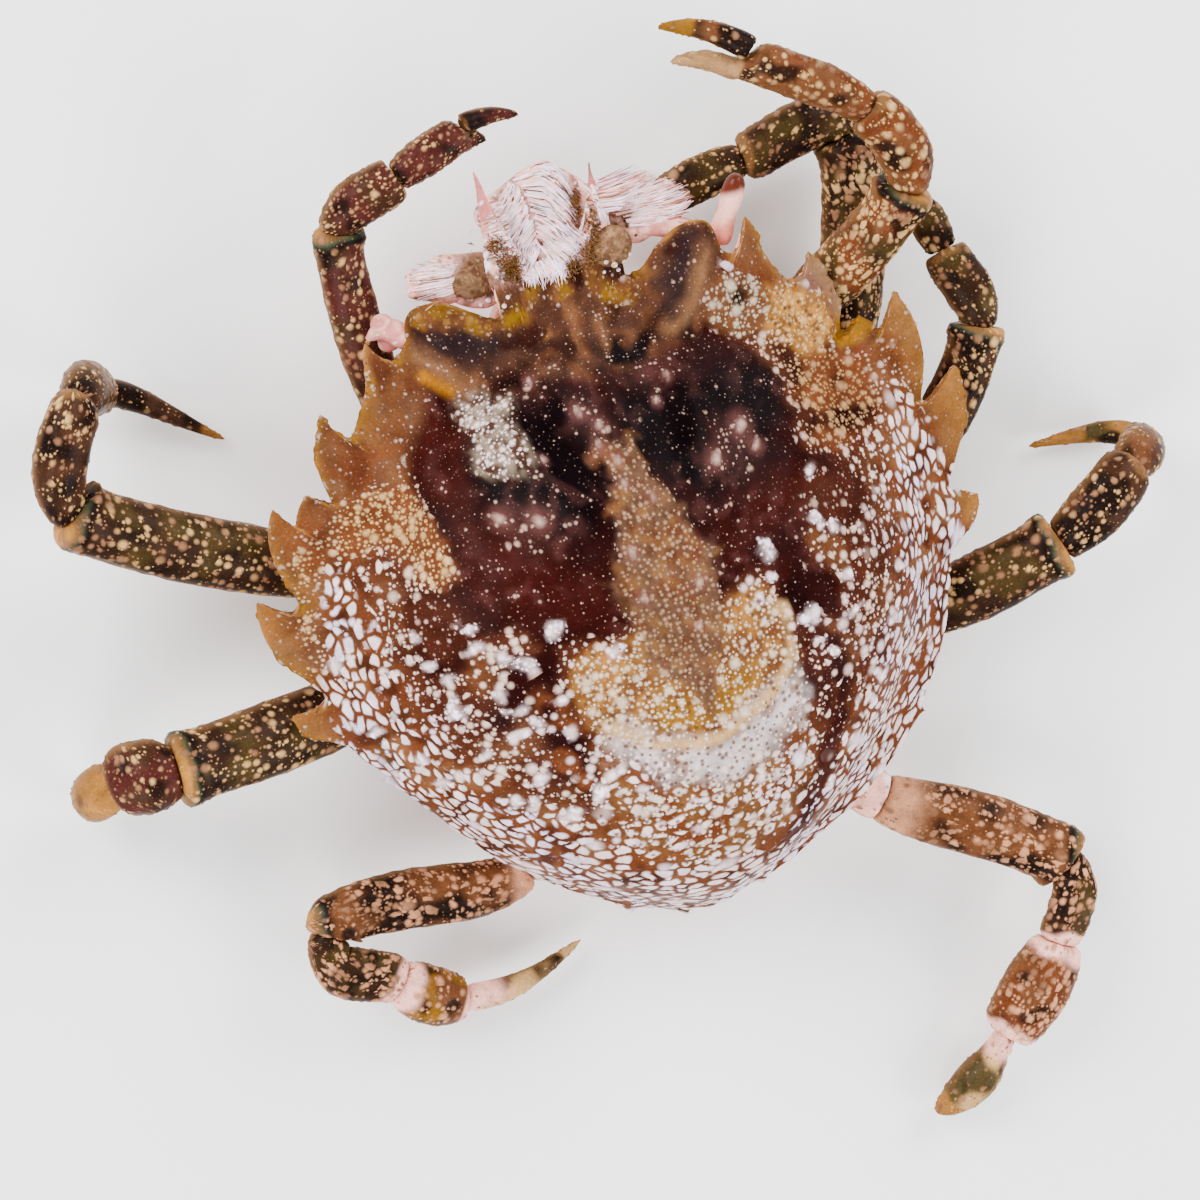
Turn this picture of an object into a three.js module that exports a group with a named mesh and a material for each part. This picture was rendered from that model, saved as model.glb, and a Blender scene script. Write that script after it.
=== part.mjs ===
// A preserved spider crab with a broad toothed shell, folded and curled limbs and a hairy snout.
// Millimetres. +X points to the crab's right, +Y to its front and +Z up. The origin is the middle
// of the flat spot on its belly, which is the face that it rests on.
import * as THREE from 'three';

// ---------------------------------------------------------------- driving dimensions

const GAP = 0.1; // clearance between pieces that meet
const LIMB_SIDES = 8; // corners in the cross-section of a limb

// The shell: its margin seen from above. Each side is given by distances from the midline.
const SHELL_TOP = 11.4; // height of the highest point above the belly spot
const SHELL_CENTRE = new THREE.Vector2(0, -2.6); // where the shell is highest
const MARGIN_THICKNESS = 0.55; // thickness of the teeth near their roots
const RIM_RISE = 0.5; // how far the surface climbs from the margin to the roots of the teeth
const UNDERSIDE_HEIGHT = 3.3; // the shell's flat underside, just above the chest
const MARGIN_HEIGHTS = [[-14, 4.5], [-5, 5.0], [3, 5.3], [9, 5.6], [12.5, 6.3], [17.5, 7.1]];

// The body inside the roots of the teeth: distance from the midline, and y.
const BODY_OUTLINE = [
  [0, 12.2], [2.5, 10.6], [4.8, 11.4], [6.7, 10.2], [8.3, 8.7], [9.9, 6.5], [11.9, 4.4],
  [12.3, 1.6], [12.1, -1.4], [11.6, -3.4], [10.1, -5.8], [8.2, -8.2], [5.6, -10.5], [2.9, -12.1],
  [0, -13.0],
];

// The brow, from the outer foot of the horn to the eye socket.
const BROW = [
  [2.3, 12.2], [2.7, 11.4], [3.4, 11.7], [4.3, 12.45], [5.2, 12.8], [6.1, 12.7], [6.4, 12.1], [6.5, 11.4],
];
const CHEEK = [[8.4, 10.1], [8.9, 9.2]]; // the plain edge behind the eye socket's tooth

// The teeth of each side, from the snout's horn to the hindmost tooth. A tooth leaves the margin
// at its front foot, hooks forward to its tip and comes back to its rear foot; hollow and crest
// are the points that its front and rear edges are drawn towards.
const LEFT_TEETH = {
  horn: { front: [1.2, 13.5], hollow: [1.95, 14.0], tip: [2.4, 17.3], crest: [2.6, 14.4], rear: [2.75, 13.2] },
  socket: { front: [7.0, 11.0], hollow: [7.6, 11.1], tip: [8.0, 12.05], crest: [8.3, 11.6], rear: [8.2, 10.9] },
  first: { front: [9.35, 8.6], hollow: [10.1, 8.7], tip: [10.3, 9.75], crest: [11.25, 8.3], rear: [10.7, 6.5] },
  small: { front: [10.8, 6.35], hollow: [11.3, 6.4], tip: [11.6, 7.0], crest: [12.1, 6.6], rear: [12.3, 6.0] },
  second: { front: [12.4, 5.95], hollow: [12.8, 6.0], tip: [13.0, 6.9], crest: [14.0, 5.6], rear: [12.95, 3.2] },
  third: { front: [12.9, 2.8], hollow: [14.1, 2.3], tip: [14.5, 3.6], crest: [15.2, 1.9], rear: [12.9, -0.6] },
  fourth: { front: [12.9, -1.0], hollow: [13.6, -1.4], tip: [14.3, -1.1], crest: [14.4, -2.3], rear: [12.7, -2.6] },
};
const RIGHT_TEETH = {
  horn: { front: [0.9, 13.4], hollow: [1.6, 13.7], tip: [2.1, 16.3], crest: [2.2, 14.0], rear: [2.5, 13.0] },
  socket: { front: [7.0, 11.0], hollow: [7.5, 11.1], tip: [7.7, 12.35], crest: [8.2, 11.7], rear: [8.1, 10.9] },
  first: { front: [9.1, 9.3], hollow: [9.8, 9.2], tip: [9.95, 10.2], crest: [11.0, 8.6], rear: [10.5, 6.7] },
  small: { front: [10.7, 6.6], hollow: [11.2, 6.5], tip: [11.35, 7.1], crest: [11.8, 6.8], rear: [11.95, 6.4] },
  second: { front: [12.1, 6.3], hollow: [12.7, 6.3], tip: [12.95, 7.6], crest: [14.1, 5.9], rear: [13.1, 3.4] },
  third: { front: [13.1, 3.05], hollow: [14.2, 2.6], tip: [14.65, 4.1], crest: [15.4, 2.4], rear: [13.4, -0.1] },
  fourth: { front: [13.3, -0.7], hollow: [13.9, -0.9], tip: [14.4, -1.2], crest: [14.3, -2.3], rear: [12.8, -2.9] },
};

// The plain hind margin. The right flank is fuller than the left, and each side has small knobs.
const HIND_MARGIN = [
  [12.1, -3.6], [11.3, -4.6], [10.6, -5.6], [9.7, -6.8], [8.8, -8.0], [7.8, -9.2], [6.7, -10.2],
  [5.6, -11.1], [4.4, -11.9], [3.2, -12.7], [2.1, -13.1], [1.1, -13.5],
];
const RIGHT_FULLNESS = [0.5, 0.9, 1.2, 1.4, 1.45, 1.3, 1.1, 0.8, 0.5, 0.3, 0.15, 0];
const LEFT_KNOBS = [1, 9, 11]; // places in the hind margin
const RIGHT_KNOBS = [4, 10];
const KNOB = { reach: 0.24, halfWidth: 0.22 };

// Swellings and furrows of the shell's top: centre, radii and height.
const SHELL_RELIEF = [
  { centre: [0, 4.2], radii: [3.6, 3.2], height: 0.55 }, // stomach region
  { centre: [0, 8.6], radii: [1.1, 1.6], height: 0.3 }, // ridge down the snout
  { centre: [0, -5.6], radii: [2.6, 3.0], height: 0.4 }, // heart region
  { centre: [3.6, -1.2], radii: [0.9, 3.4], height: -0.3 }, // furrows beside the heart
  { centre: [7.4, -1.6], radii: [3.2, 4.6], height: 0.45 }, // gill chambers
  { centre: [4.9, 10.9], radii: [1.7, 1.3], height: 0.6 }, // swellings over the eyes
  { centre: [4.6, 8.6], radii: [1.9, 0.7], height: -0.35 }, // furrows behind those
  { centre: [7.9, 8.2], radii: [1.5, 1.8], height: 0.35 }, // cheeks
  { centre: [10.9, 3.6], radii: [1.3, 2.2], height: -0.3 }, // hollows inside the side teeth
  { centre: [3.0, 5.6], radii: [0.7, 0.7], height: 0.25 }, // paired knobs of the stomach region
  { centre: [5.9, 3.2], radii: [0.8, 0.8], height: 0.25 },
];

// The chest plate and the broad flap folded under it: y, half width.
const CHEST_HEIGHT = 3.15;
const CHEST_FLOOR = 1.25;
const CHEST_WIDTHS = [
  [8.0, 1.8], [6.8, 3.4], [5.2, 4.8], [3.2, 5.7], [0.8, 6.1],
  [-1.8, 6.0], [-4.2, 5.2], [-6.2, 4.0], [-7.8, 2.5],
];
const FLAP_THICKNESS = 1.1;
const FLAP_SOMITES = [
  { y: 4.9, halfWidth: 1.1, length: 1.6 },
  { y: 3.0, halfWidth: 3.0, length: 1.9 },
  { y: 0.9, halfWidth: 3.9, length: 2.1 },
  { y: -1.2, halfWidth: 4.2, length: 1.9 },
  { y: -3.2, halfWidth: 4.0, length: 1.9 },
  { y: -5.2, halfWidth: 3.5, length: 1.9 },
  { y: -7.2, halfWidth: 2.9, length: 1.9 },
];
const FLAP_FLAT_SHARE = 0.5; // share of a somite's width that is flat and level with the belly spot
const FLAP_HINGE = [[-8.8, 0.9], [-9.9, 1.7], [-10.5, 2.7]]; // y and height of the bend at the tail

// ---------------------------------------------------------------- limbs

// How the half width of each kind of segment changes from its inner to its outer end.
const PROFILES = {
  base: [[0, 0.84], [0.12, 1], [0.32, 0.98], [0.46, 0.78], [0.72, 0.82], [0.93, 0.88], [1, 0.74]],
  merus: [[0, 0.7], [0.06, 0.8], [0.25, 0.94], [0.55, 1], [0.84, 0.94], [0.94, 1.06], [1, 0.92]],
  carpus: [[0, 0.68], [0.1, 0.84], [0.38, 1.02], [0.7, 1], [0.9, 0.98], [1, 0.8]],
  propodus: [[0, 0.68], [0.12, 0.86], [0.38, 1], [0.68, 0.98], [0.9, 0.87], [1, 0.66]],
  dactylus: [[0, 0.8], [0.14, 1], [0.38, 0.84], [0.62, 0.6], [0.84, 0.34]],
  paddle: [[0, 0.55], [0.18, 0.66], [0.38, 0.96], [0.62, 0.98], [0.86, 0.62]],
};
const BEND_LENGTH = 2.2; // the most that a bend at a joint reaches into a segment
// How far each joint's face has turned from the segment before it to the one after it. The knee
// piece takes most of the bends at its two ends.
const JOINT_TURN = [0, 0.88, 0.32, 0.65, 0.4, 1];

// Joints run from the chest to the tip. halfWidths are base, merus, carpus, propodus, dactylus.
// tipBow is how far the last piece bows to the right of its heading, seen from above.
const LIMBS = [
  {
    name: 'left_claw_leg', tone: 'claw', flatness: 0.85,
    joints: [
      [-4.6, 6.6, 2.1], [-6.9, 7.7, 2.9], [-7.6, 16.35, 5.4],
      [-5.15, 17.75, 6.2], [-2.22, 18.6, 6.2], [0.29, 18.55, 5.6],
    ],
    halfWidths: [1.05, 1.02, 1.04, 0.84, 0.4],
    fixedFinger: [-1.3, 18.0, 5.8], fingerSide: 1, tipBow: -0.3,
  },
  {
    name: 'left_second_leg', tone: 'dark', flatness: 0.8,
    joints: [
      [-5.9, 3.9, 2.1], [-10.6, 3.2, 2.8], [-20.3, 9.05, 5.0],
      [-19.1, 12.9, 5.3], [-17.3, 12.5, 1.9], [-12.9, 8.95, 0.35],
    ],
    halfWidths: [1.2, 1.36, 1.12, 1.1, 0.55], tipBow: 0,
  },
  {
    name: 'left_third_leg', tone: 'dark', flatness: 0.8,
    joints: [
      [-6.7, 0.7, 2.1], [-10.4, -2.0, 2.6], [-19.15, -1.85, 4.7],
      [-21.15, -1.75, 3.9], [-22.1, -2.7, 1.7], [-20.7, -3.6, 0.35],
    ],
    halfWidths: [1.2, 1.45, 1.42, 1.04, 0.5], tipBow: 0,
  },
  {
    name: 'left_fifth_leg', tone: 'pale', flatness: 0.75,
    joints: [
      [-4.7, -6.2, 2.1], [-6.6, -10.35, 2.4], [-14.6, -10.35, 3.1],
      [-12.5, -13.0, 2.7], [-9.95, -14.8, 1.6], [-4.57, -14.25, 0.9],
    ],
    halfWidths: [1.15, 1.17, 1.02, 1.16, 0.56], tipBow: 0.4, kneeBow: [-15.9, -12.1, 3.0],
  },
  {
    name: 'right_claw_leg', tone: 'claw', flatness: 0.85,
    joints: [
      [4.7, 6.6, 2.1], [9.1, 7.15, 3.1], [14.1, 11.6, 6.6],
      [13.05, 15.15, 7.6], [8.9, 18.35, 7.8], [5.92, 20.45, 7.2],
    ],
    halfWidths: [1.05, 1.2, 1.08, 0.92, 0.5],
    fixedFinger: [6.14, 19.0, 7.0], fingerSide: -1, tipBow: -0.6,
  },
  {
    name: 'right_second_leg', tone: 'dark', flatness: 0.8,
    joints: [
      [6.0, 3.8, 2.0], [11.0, 4.3, 2.2], [13.4, 13.55, 2.7],
      [9.2, 13.8, 2.7], [5.5, 13.05, 2.1], [3.4, 11.9, 0.5],
    ],
    halfWidths: [1.2, 1.3, 1.02, 0.9, 0.5], tipBow: 0,
  },
  {
    name: 'right_third_leg', tone: 'dark', flatness: 0.8,
    joints: [
      [6.6, 0.9, 2.1], [12.9, 0.0, 2.6], [16.5, 4.9, 3.6],
      [15.95, 8.1, 3.4], [15.75, 10.0, 2.5], [16.2, 11.3, 0.45],
    ],
    halfWidths: [1.2, 1.1, 0.95, 0.75, 0.42], tipBow: 0,
  },
  {
    name: 'right_fourth_leg', tone: 'dark', flatness: 0.8,
    joints: [
      [6.4, -2.2, 2.1], [11.4, -5.6, 2.6], [17.5, -4.3, 3.9],
      [20.9, -2.3, 4.1], [22.4, -1.9, 1.4], [18.25, -1.1, 0.4],
    ],
    halfWidths: [1.2, 1.36, 1.15, 1.0, 0.52], tipBow: 0.2,
  },
  {
    name: 'right_fifth_leg', tone: 'pale', flatness: 0.75,
    joints: [
      [4.7, -6.2, 2.1], [8.3, -12.3, 2.4], [14.8, -17.1, 2.8],
      [13.7, -20.1, 2.8], [10.95, -23.3, 1.8], [7.5, -25.75, 0.8],
    ],
    halfWidths: [1.15, 1.3, 0.9, 1.4, 0.84], tipBow: -0.5, tipProfile: 'paddle',
  },
];
// The left fourth leg is lost: only its root is there.
const LOST_LEG = { name: 'left_fourth_leg_stub', root: [-6.4, -2.2, 2.1], end: [-9.4, -4.4, 2.6], halfWidth: 1.15 };

// ---------------------------------------------------------------- finishes

const FINISHES = {
  shell: { color: 0x7a4630, roughness: 0.55 },
  under: { color: 0xd9c2a4, roughness: 0.7 },
  claw: { color: 0x7a4a35, roughness: 0.5 },
  dark: { color: 0x4a3426, roughness: 0.5 },
  pale: { color: 0xb98f72, roughness: 0.5 },
  tip: { color: 0xb28a5a, roughness: 0.5 },
  eye: { color: 0xd9a3a0, roughness: 0.35 },
  velvet: { color: 0x8a6f55, roughness: 0.9 },
  hair: { color: 0xe8dfda, roughness: 0.9 },
};

const crab = new THREE.Group();

function addPiece(name, geometry, finish) {
  const material = new THREE.MeshStandardMaterial({ ...FINISHES[finish], metalness: 0 });
  const piece = new THREE.Mesh(geometry, material);
  piece.name = name;
  crab.add(piece);
}

// ---------------------------------------------------------------- solids from rings

const point = ([x, y, z]) => new THREE.Vector3(x, y, z);

// How far round its ring each corner is, from 0 to 1. Even, unless the ring carries its own.
const shareRound = (ring, i) => {
  if (i >= ring.length) return 1 + shareRound(ring, i - ring.length);
  return ring.shares ? ring.shares[i] : i / ring.length;
};

// The faces between two rings that run the same way round, stitched by how far round each is.
function stitch(firstA, ringA, firstB, ringB, faces) {
  let a = 0;
  let b = 0;
  while (a < ringA.length || b < ringB.length) {
    const cornerA = firstA + (a % ringA.length);
    const cornerB = firstB + (b % ringB.length);
    const middleA = shareRound(ringA, a) + shareRound(ringA, a + 1);
    const middleB = shareRound(ringB, b) + shareRound(ringB, b + 1);
    if (b >= ringB.length || (a < ringA.length && middleA <= middleB)) {
      faces.push(cornerA, firstA + ((a + 1) % ringA.length), cornerB);
      a += 1;
    } else {
      faces.push(cornerA, firstB + ((b + 1) % ringB.length), cornerB);
      b += 1;
    }
  }
}

// Fans one end of a stack of rings out to a single point.
function closeEnd(first, count, apex, reversed, faces) {
  for (let i = 0; i < count; i += 1) {
    const here = first + i;
    const next = first + ((i + 1) % count);
    faces.push(...(reversed ? [next, here, apex] : [here, next, apex]));
  }
}

function volumeOf(corners, faces) {
  let volume = 0;
  for (let i = 0; i < faces.length; i += 3) {
    const [a, b, c] = [corners[faces[i]], corners[faces[i + 1]], corners[faces[i + 2]]];
    volume += a.dot(new THREE.Vector3().crossVectors(b, c)) / 6;
  }
  return volume;
}

// A closed solid from a stack of rings and the points that close its two ends.
function ringSolid(startPoint, rings, endPoint) {
  const corners = [...rings.flat(), startPoint, endPoint];
  const faces = [];
  let first = 0;
  closeEnd(0, rings[0].length, corners.length - 2, true, faces);
  for (let i = 0; i + 1 < rings.length; i += 1) {
    stitch(first, rings[i], first + rings[i].length, rings[i + 1], faces);
    first += rings[i].length;
  }
  closeEnd(first, rings.at(-1).length, corners.length - 1, false, faces);
  if (volumeOf(corners, faces) < 0) faces.reverse();
  const geometry = new THREE.BufferGeometry();
  geometry.setAttribute('position', new THREE.Float32BufferAttribute(corners.flatMap((p) => p.toArray()), 3));
  geometry.setIndex(faces);
  geometry.computeVertexNormals();
  return geometry;
}

// ---------------------------------------------------------------- shell

// Height of the margin at a distance along the body.
function marginHeight(y) {
  const heights = MARGIN_HEIGHTS;
  const last = heights.length - 1;
  if (y <= heights[0][0]) return heights[0][1];
  if (y >= heights[last][0]) return heights[last][1];
  const i = heights.findIndex(([limit]) => limit > y);
  const [[y0, z0], [y1, z1]] = [heights[i - 1], heights[i]];
  return THREE.MathUtils.lerp(z0, z1, (y - y0) / (y1 - y0));
}

// The corners of one tooth, from its front foot to its rear foot.
function toothCorners({ front, hollow, tip, crest, rear }) {
  const [a, b, c, d, e] = [front, hollow, tip, crest, rear].map(([u, y]) => new THREE.Vector2(u, y));
  const frontEdge = new THREE.QuadraticBezierCurve(a, b, c);
  const rearEdge = new THREE.QuadraticBezierCurve(c, d, e);
  return [
    ...[0, 0.4, 0.85].map((t) => frontEdge.getPoint(t)),
    c,
    ...[0.12, 0.4, 0.7, 1].map((t) => rearEdge.getPoint(t)),
  ];
}

// One side of the margin, from beside the snout's notch to beside the tail.
function sideMargin(teeth, fullness, knobs) {
  const plain = (list) => list.map(([u, y]) => new THREE.Vector2(u, y));
  const hind = plain(HIND_MARGIN);
  hind.forEach((p, i) => {
    p.add(p.clone().sub(SHELL_CENTRE).setLength(fullness[i]));
  });
  for (const place of [...knobs].reverse()) {
    const outward = hind[place].clone().sub(SHELL_CENTRE).setLength(KNOB.reach);
    const along = new THREE.Vector2(outward.y, -outward.x).setLength(KNOB.halfWidth);
    const before = hind[place].clone().sub(along);
    const after = hind[place].clone().add(along);
    hind.splice(place, 1, before, hind[place].clone().add(outward), after);
  }
  return [
    ...toothCorners(teeth.horn), ...plain(BROW), ...toothCorners(teeth.socket), ...plain(CHEEK),
    ...toothCorners(teeth.first), ...toothCorners(teeth.small), ...toothCorners(teeth.second),
    ...toothCorners(teeth.third), ...toothCorners(teeth.fourth), ...hind,
  ];
}

const mirrored = (p) => new THREE.Vector2(-p.x, p.y);

// The whole margin, clockwise from the notch between the horns.
function marginLoop() {
  const leftFullness = HIND_MARGIN.map(() => 0);
  const right = sideMargin(RIGHT_TEETH, RIGHT_FULLNESS, RIGHT_KNOBS);
  const left = sideMargin(LEFT_TEETH, leftFullness, LEFT_KNOBS).map(mirrored).reverse();
  return [new THREE.Vector2(0, 13.5), ...right, new THREE.Vector2(0, -13.7), ...left];
}

// Turn about the shell's centre, clockwise from straight ahead.
const turnOf = (p) => Math.atan2(p.x - SHELL_CENTRE.x, p.y - SHELL_CENTRE.y);

// Distance of the body's outline from the shell's centre at a turn.
function bodyReach() {
  const half = BODY_OUTLINE.map(([u, y]) => new THREE.Vector3(u, y, 0));
  const otherHalf = half.slice(1, -1).reverse().map((p) => new THREE.Vector3(-p.x, p.y, 0));
  const outline = new THREE.CatmullRomCurve3([...half, ...otherHalf], true).getPoints(400);
  const samples = outline.map((p) => [turnOf(p), Math.hypot(p.x - SHELL_CENTRE.x, p.y - SHELL_CENTRE.y)]);
  samples.sort((one, other) => one[0] - other[0]);
  return (turn) => {
    const wrapped = THREE.MathUtils.euclideanModulo(turn + Math.PI, 2 * Math.PI) - Math.PI;
    const i = samples.findIndex(([limit]) => limit > wrapped);
    if (i <= 0) return samples[0][1];
    const [[t0, r0], [t1, r1]] = [samples[i - 1], samples[i]];
    return THREE.MathUtils.lerp(r0, r1, (wrapped - t0) / (t1 - t0));
  };
}

// Spreads the spokes to the margin's corners so that none cross where teeth hook forward.
function spokeTurns(loop) {
  let turns = loop.map((p) => THREE.MathUtils.euclideanModulo(turnOf(p), 2 * Math.PI));
  turns[0] = 0;
  const relaxing = 30;
  for (let round = 0; round < relaxing; round += 1) {
    turns = turns.map((turn, i) => {
      if (i === 0) return 0;
      const next = i + 1 < turns.length ? turns[i + 1] : 2 * Math.PI;
      return (turns[i - 1] + 2 * turn + next) / 4;
    });
  }
  return turns;
}

// Share of the height above the margin at a share of the way out from the centre. The snout
// slopes gently, the flanks evenly, and the rear stays full before it drops.
function domeShare(reachShare, turn) {
  const ahead = Math.cos(turn);
  const fullness = 0.85 + 1.2 * Math.max(ahead, 0) ** 1.5 - 0.4 * Math.max(-ahead, 0);
  return (1 - Math.min(reachShare, 1) ** 2.2) ** fullness;
}

function shellRelief(x, y) {
  let height = 0;
  for (const { centre, radii, height: peak } of SHELL_RELIEF) {
    const across = (Math.abs(x) - centre[0]) / radii[0];
    const along = (y - centre[1]) / radii[1];
    height += peak * Math.exp(-(across * across + along * along));
  }
  return height;
}

function shellGeometry() {
  const reach = bodyReach();
  const loop = marginLoop();
  const spokes = spokeTurns(loop);
  const nearby = [-0.45, -0.3, -0.15, 0, 0.15, 0.3, 0.45];
  const ovalReach = (turn) => nearby.reduce((sum, step) => sum + reach(turn + step), 0) / nearby.length;
  // The body's outline is followed at the rim and eases into a plain oval further in.
  const place = (turn, share) => new THREE.Vector2(Math.sin(turn), Math.cos(turn))
    .multiplyScalar(THREE.MathUtils.lerp(ovalReach(turn), reach(turn), share ** 8) * share)
    .add(SHELL_CENTRE);
  const roots = spokes.map((turn) => place(turn, 1));
  const evenTurns = (count) => Array.from({ length: count }, (_, i) => (2 * Math.PI * i) / count);

  const withShares = (ring, turns) => Object.assign(ring, { shares: turns.map((turn) => turn / (2 * Math.PI)) });

  // Rings of the top and the underside at a share of the way from the margin in to the roots.
  const toothRing = (share, side) => withShares(loop.map((tip, i) => {
    const p = tip.clone().lerp(roots[i], share);
    const body = Math.min(tip.distanceTo(roots[i]), 1);
    const rise = side > 0 ? RIM_RISE * share : 0.25 * share;
    const thickness = MARGIN_THICKNESS * 0.5 * share ** 0.5 * body;
    return new THREE.Vector3(p.x, p.y, marginHeight(tip.y) + side * (rise + thickness));
  }), spokes);
  const topRing = (turns, share) => withShares(turns.map((turn) => {
    const p = place(turn, share);
    const foot = marginHeight(place(turn, 1).y) + RIM_RISE + MARGIN_THICKNESS * 0.4;
    const height = THREE.MathUtils.lerp(foot, SHELL_TOP, domeShare(share, turn));
    return new THREE.Vector3(p.x, p.y, height + shellRelief(p.x, p.y) * (1 - share ** 6));
  }), turns);
  const underRing = (count, share) => evenTurns(count).map((turn) => {
    const p = place(turn, share);
    const outer = marginHeight(place(turn, 1).y) - 0.45;
    const climb = THREE.MathUtils.smoothstep(share, 0.6, 1);
    return new THREE.Vector3(p.x, p.y, THREE.MathUtils.lerp(UNDERSIDE_HEIGHT, outer, climb));
  });
  const dense = evenTurns(72);
  const medium = evenTurns(36);
  const sparse = evenTurns(18);
  const rings = [
    underRing(36, 0.5), underRing(36, 0.74), underRing(72, 0.9), toothRing(0.75, -1),
    toothRing(0.32, -1), toothRing(0, 1), toothRing(0.32, 1), topRing(spokes, 0.985),
    ...[0.92, 0.83, 0.73, 0.62, 0.51].map((share) => topRing(dense, share)),
    topRing(medium, 0.39), topRing(medium, 0.27), topRing(sparse, 0.14),
  ];
  const underMiddle = new THREE.Vector3(SHELL_CENTRE.x, SHELL_CENTRE.y, UNDERSIDE_HEIGHT);
  const summit = new THREE.Vector3(
    SHELL_CENTRE.x, SHELL_CENTRE.y, SHELL_TOP + shellRelief(SHELL_CENTRE.x, SHELL_CENTRE.y));
  return ringSolid(underMiddle, rings, summit);
}

addPiece('carapace', shellGeometry(), 'shell');

// ---------------------------------------------------------------- chest plate and tail flap

function chestGeometry() {
  const right = CHEST_WIDTHS.map(([y, halfWidth]) => [halfWidth, y]);
  const left = [...right].reverse().map(([x, y]) => [-x, y]);
  const outline = [...right, ...left];
  const ring = (inset, z) => outline.map(([x, y]) => {
    const factor = 1 - inset / Math.hypot(x, y);
    return new THREE.Vector3(x * factor, y * factor, z);
  });
  const middle = (z) => new THREE.Vector3(0, 0, z);
  const rings = [
    ring(0.7, CHEST_FLOOR), ring(0.1, CHEST_FLOOR + 0.35), ring(0, 2.1), ring(0.15, CHEST_HEIGHT - 0.25),
    ring(0.6, CHEST_HEIGHT),
  ];
  return ringSolid(middle(CHEST_FLOOR), rings, middle(CHEST_HEIGHT));
}

addPiece('chest_plate', chestGeometry(), 'under');

// One cross-section of the flap: a lens with a flat underside.
function flapSection(y, z, halfWidth, tilt, thickness) {
  const up = new THREE.Vector3(0, -Math.sin(tilt), Math.cos(tilt));
  const flat = halfWidth * FLAP_FLAT_SHARE;
  const shape = [
    [flat, 0], [halfWidth * 0.86, 0.18], [halfWidth, 0.5], [halfWidth * 0.8, 0.9], [flat, 1],
    [-flat, 1], [-halfWidth * 0.8, 0.9], [-halfWidth, 0.5], [-halfWidth * 0.86, 0.18], [-flat, 0],
  ];
  return shape.map(([x, rise]) => new THREE.Vector3(x, y, z).addScaledVector(up, rise * thickness));
}

function flapGeometry() {
  const rings = [];
  const groove = 0.16;
  for (const { y, halfWidth, length } of FLAP_SOMITES) {
    rings.push(flapSection(y + length * 0.44, 0, halfWidth, 0, FLAP_THICKNESS));
    rings.push(flapSection(y - length * 0.4, 0, halfWidth * 1.02, 0, FLAP_THICKNESS));
    rings.push(flapSection(y - length * 0.5, groove, halfWidth * 0.95, 0, FLAP_THICKNESS - groove));
  }
  const tailWidths = [2.8, 2.7, 2.4];
  FLAP_HINGE.forEach(([y, z], i) => {
    const tilt = THREE.MathUtils.degToRad(25 + 25 * i);
    rings.push(flapSection(y, z, tailWidths[i], tilt, 0.9));
  });
  const front = new THREE.Vector3(0, FLAP_SOMITES[0].y + 0.95, 0.4);
  const middleOf = (ring) => ring.reduce((sum, p) => sum.add(p), new THREE.Vector3()).divideScalar(ring.length);
  return ringSolid(front, rings, middleOf(rings.at(-1)));
}

addPiece('tail_flap', flapGeometry(), 'under');

// ---------------------------------------------------------------- mouth plates, eyes, antennae, hair

// A flat plate with rounded edges from an outline, lying in XY and thick along Z.
function plateGeometry(outline, thickness, edge) {
  const shape = new THREE.Shape(outline.map(([x, y]) => new THREE.Vector2(x, y)));
  return new THREE.ExtrudeGeometry(shape, {
    depth: thickness - 2 * edge, bevelThickness: edge, bevelSize: edge, bevelOffset: -edge, bevelSegments: 1,
  }).translate(0, 0, edge);
}

function mouthPlate(side) {
  const outline = [
    [0.12, 0], [1.5, 0], [2.2, 1.0], [2.3, 2.4], [1.7, 3.3], [0.5, 3.5], [0.12, 2.6],
  ];
  const placed = outline.map(([x, y]) => [x * side, y]);
  if (side < 0) placed.reverse();
  return plateGeometry(placed, 0.6, 0.15).rotateX(THREE.MathUtils.degToRad(16)).translate(0, 8.2, 1.7);
}

addPiece('left_mouth_plate', mouthPlate(-1), 'under');
addPiece('right_mouth_plate', mouthPlate(1), 'under');

// An eye: a short stalk with a rounded end, turned to point from its socket to its tip.
function eyeGeometry(socket, tip, radius) {
  const from = point(socket);
  const direction = point(tip).sub(from);
  const length = direction.length();
  const profile = [[0, 0], [0.75, 0], [1, 0.12], [0.78, 0.4], [0.9, 0.65], [0.8, 0.88], [0.4, 0.98], [0, 1]];
  const outline = profile.map(([r, t]) => new THREE.Vector2(r * radius, t * length));
  const stalk = new THREE.LatheGeometry(outline, LIMB_SIDES);
  const turn = new THREE.Quaternion().setFromUnitVectors(new THREE.Vector3(0, 1, 0), direction.normalize());
  return stalk.applyQuaternion(turn).translate(from.x, from.y, from.z);
}

addPiece('left_eye', eyeGeometry([-6.75, 11.5, 5.2], [-7.15, 12.75, 5.9], 0.5), 'eye');
addPiece('right_eye', eyeGeometry([6.75, 11.5, 5.2], [7.85, 13.95, 6.3], 0.5), 'eye');

// The antenna's broad scalloped joint, which carries a fringe.
function antennaGeometry(centre, radii, turn) {
  const outline = Array.from({ length: 14 }, (_, i) => {
    const angle = (2 * Math.PI * i) / 14;
    const scallop = 1 + 0.08 * Math.cos(angle * 7);
    return [Math.cos(angle) * radii[0] * scallop, Math.sin(angle) * radii[1] * scallop];
  });
  return plateGeometry(outline, radii[2], radii[2] * 0.35).rotateZ(turn).translate(...centre);
}

addPiece('left_antenna', antennaGeometry([-3.75, 13.25, 5.0], [1.95, 0.9, 0.8], -0.12), 'velvet');
addPiece('right_antenna', antennaGeometry([4.0, 13.5, 5.0], [1.95, 1.0, 0.8], 0.1), 'velvet');

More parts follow.
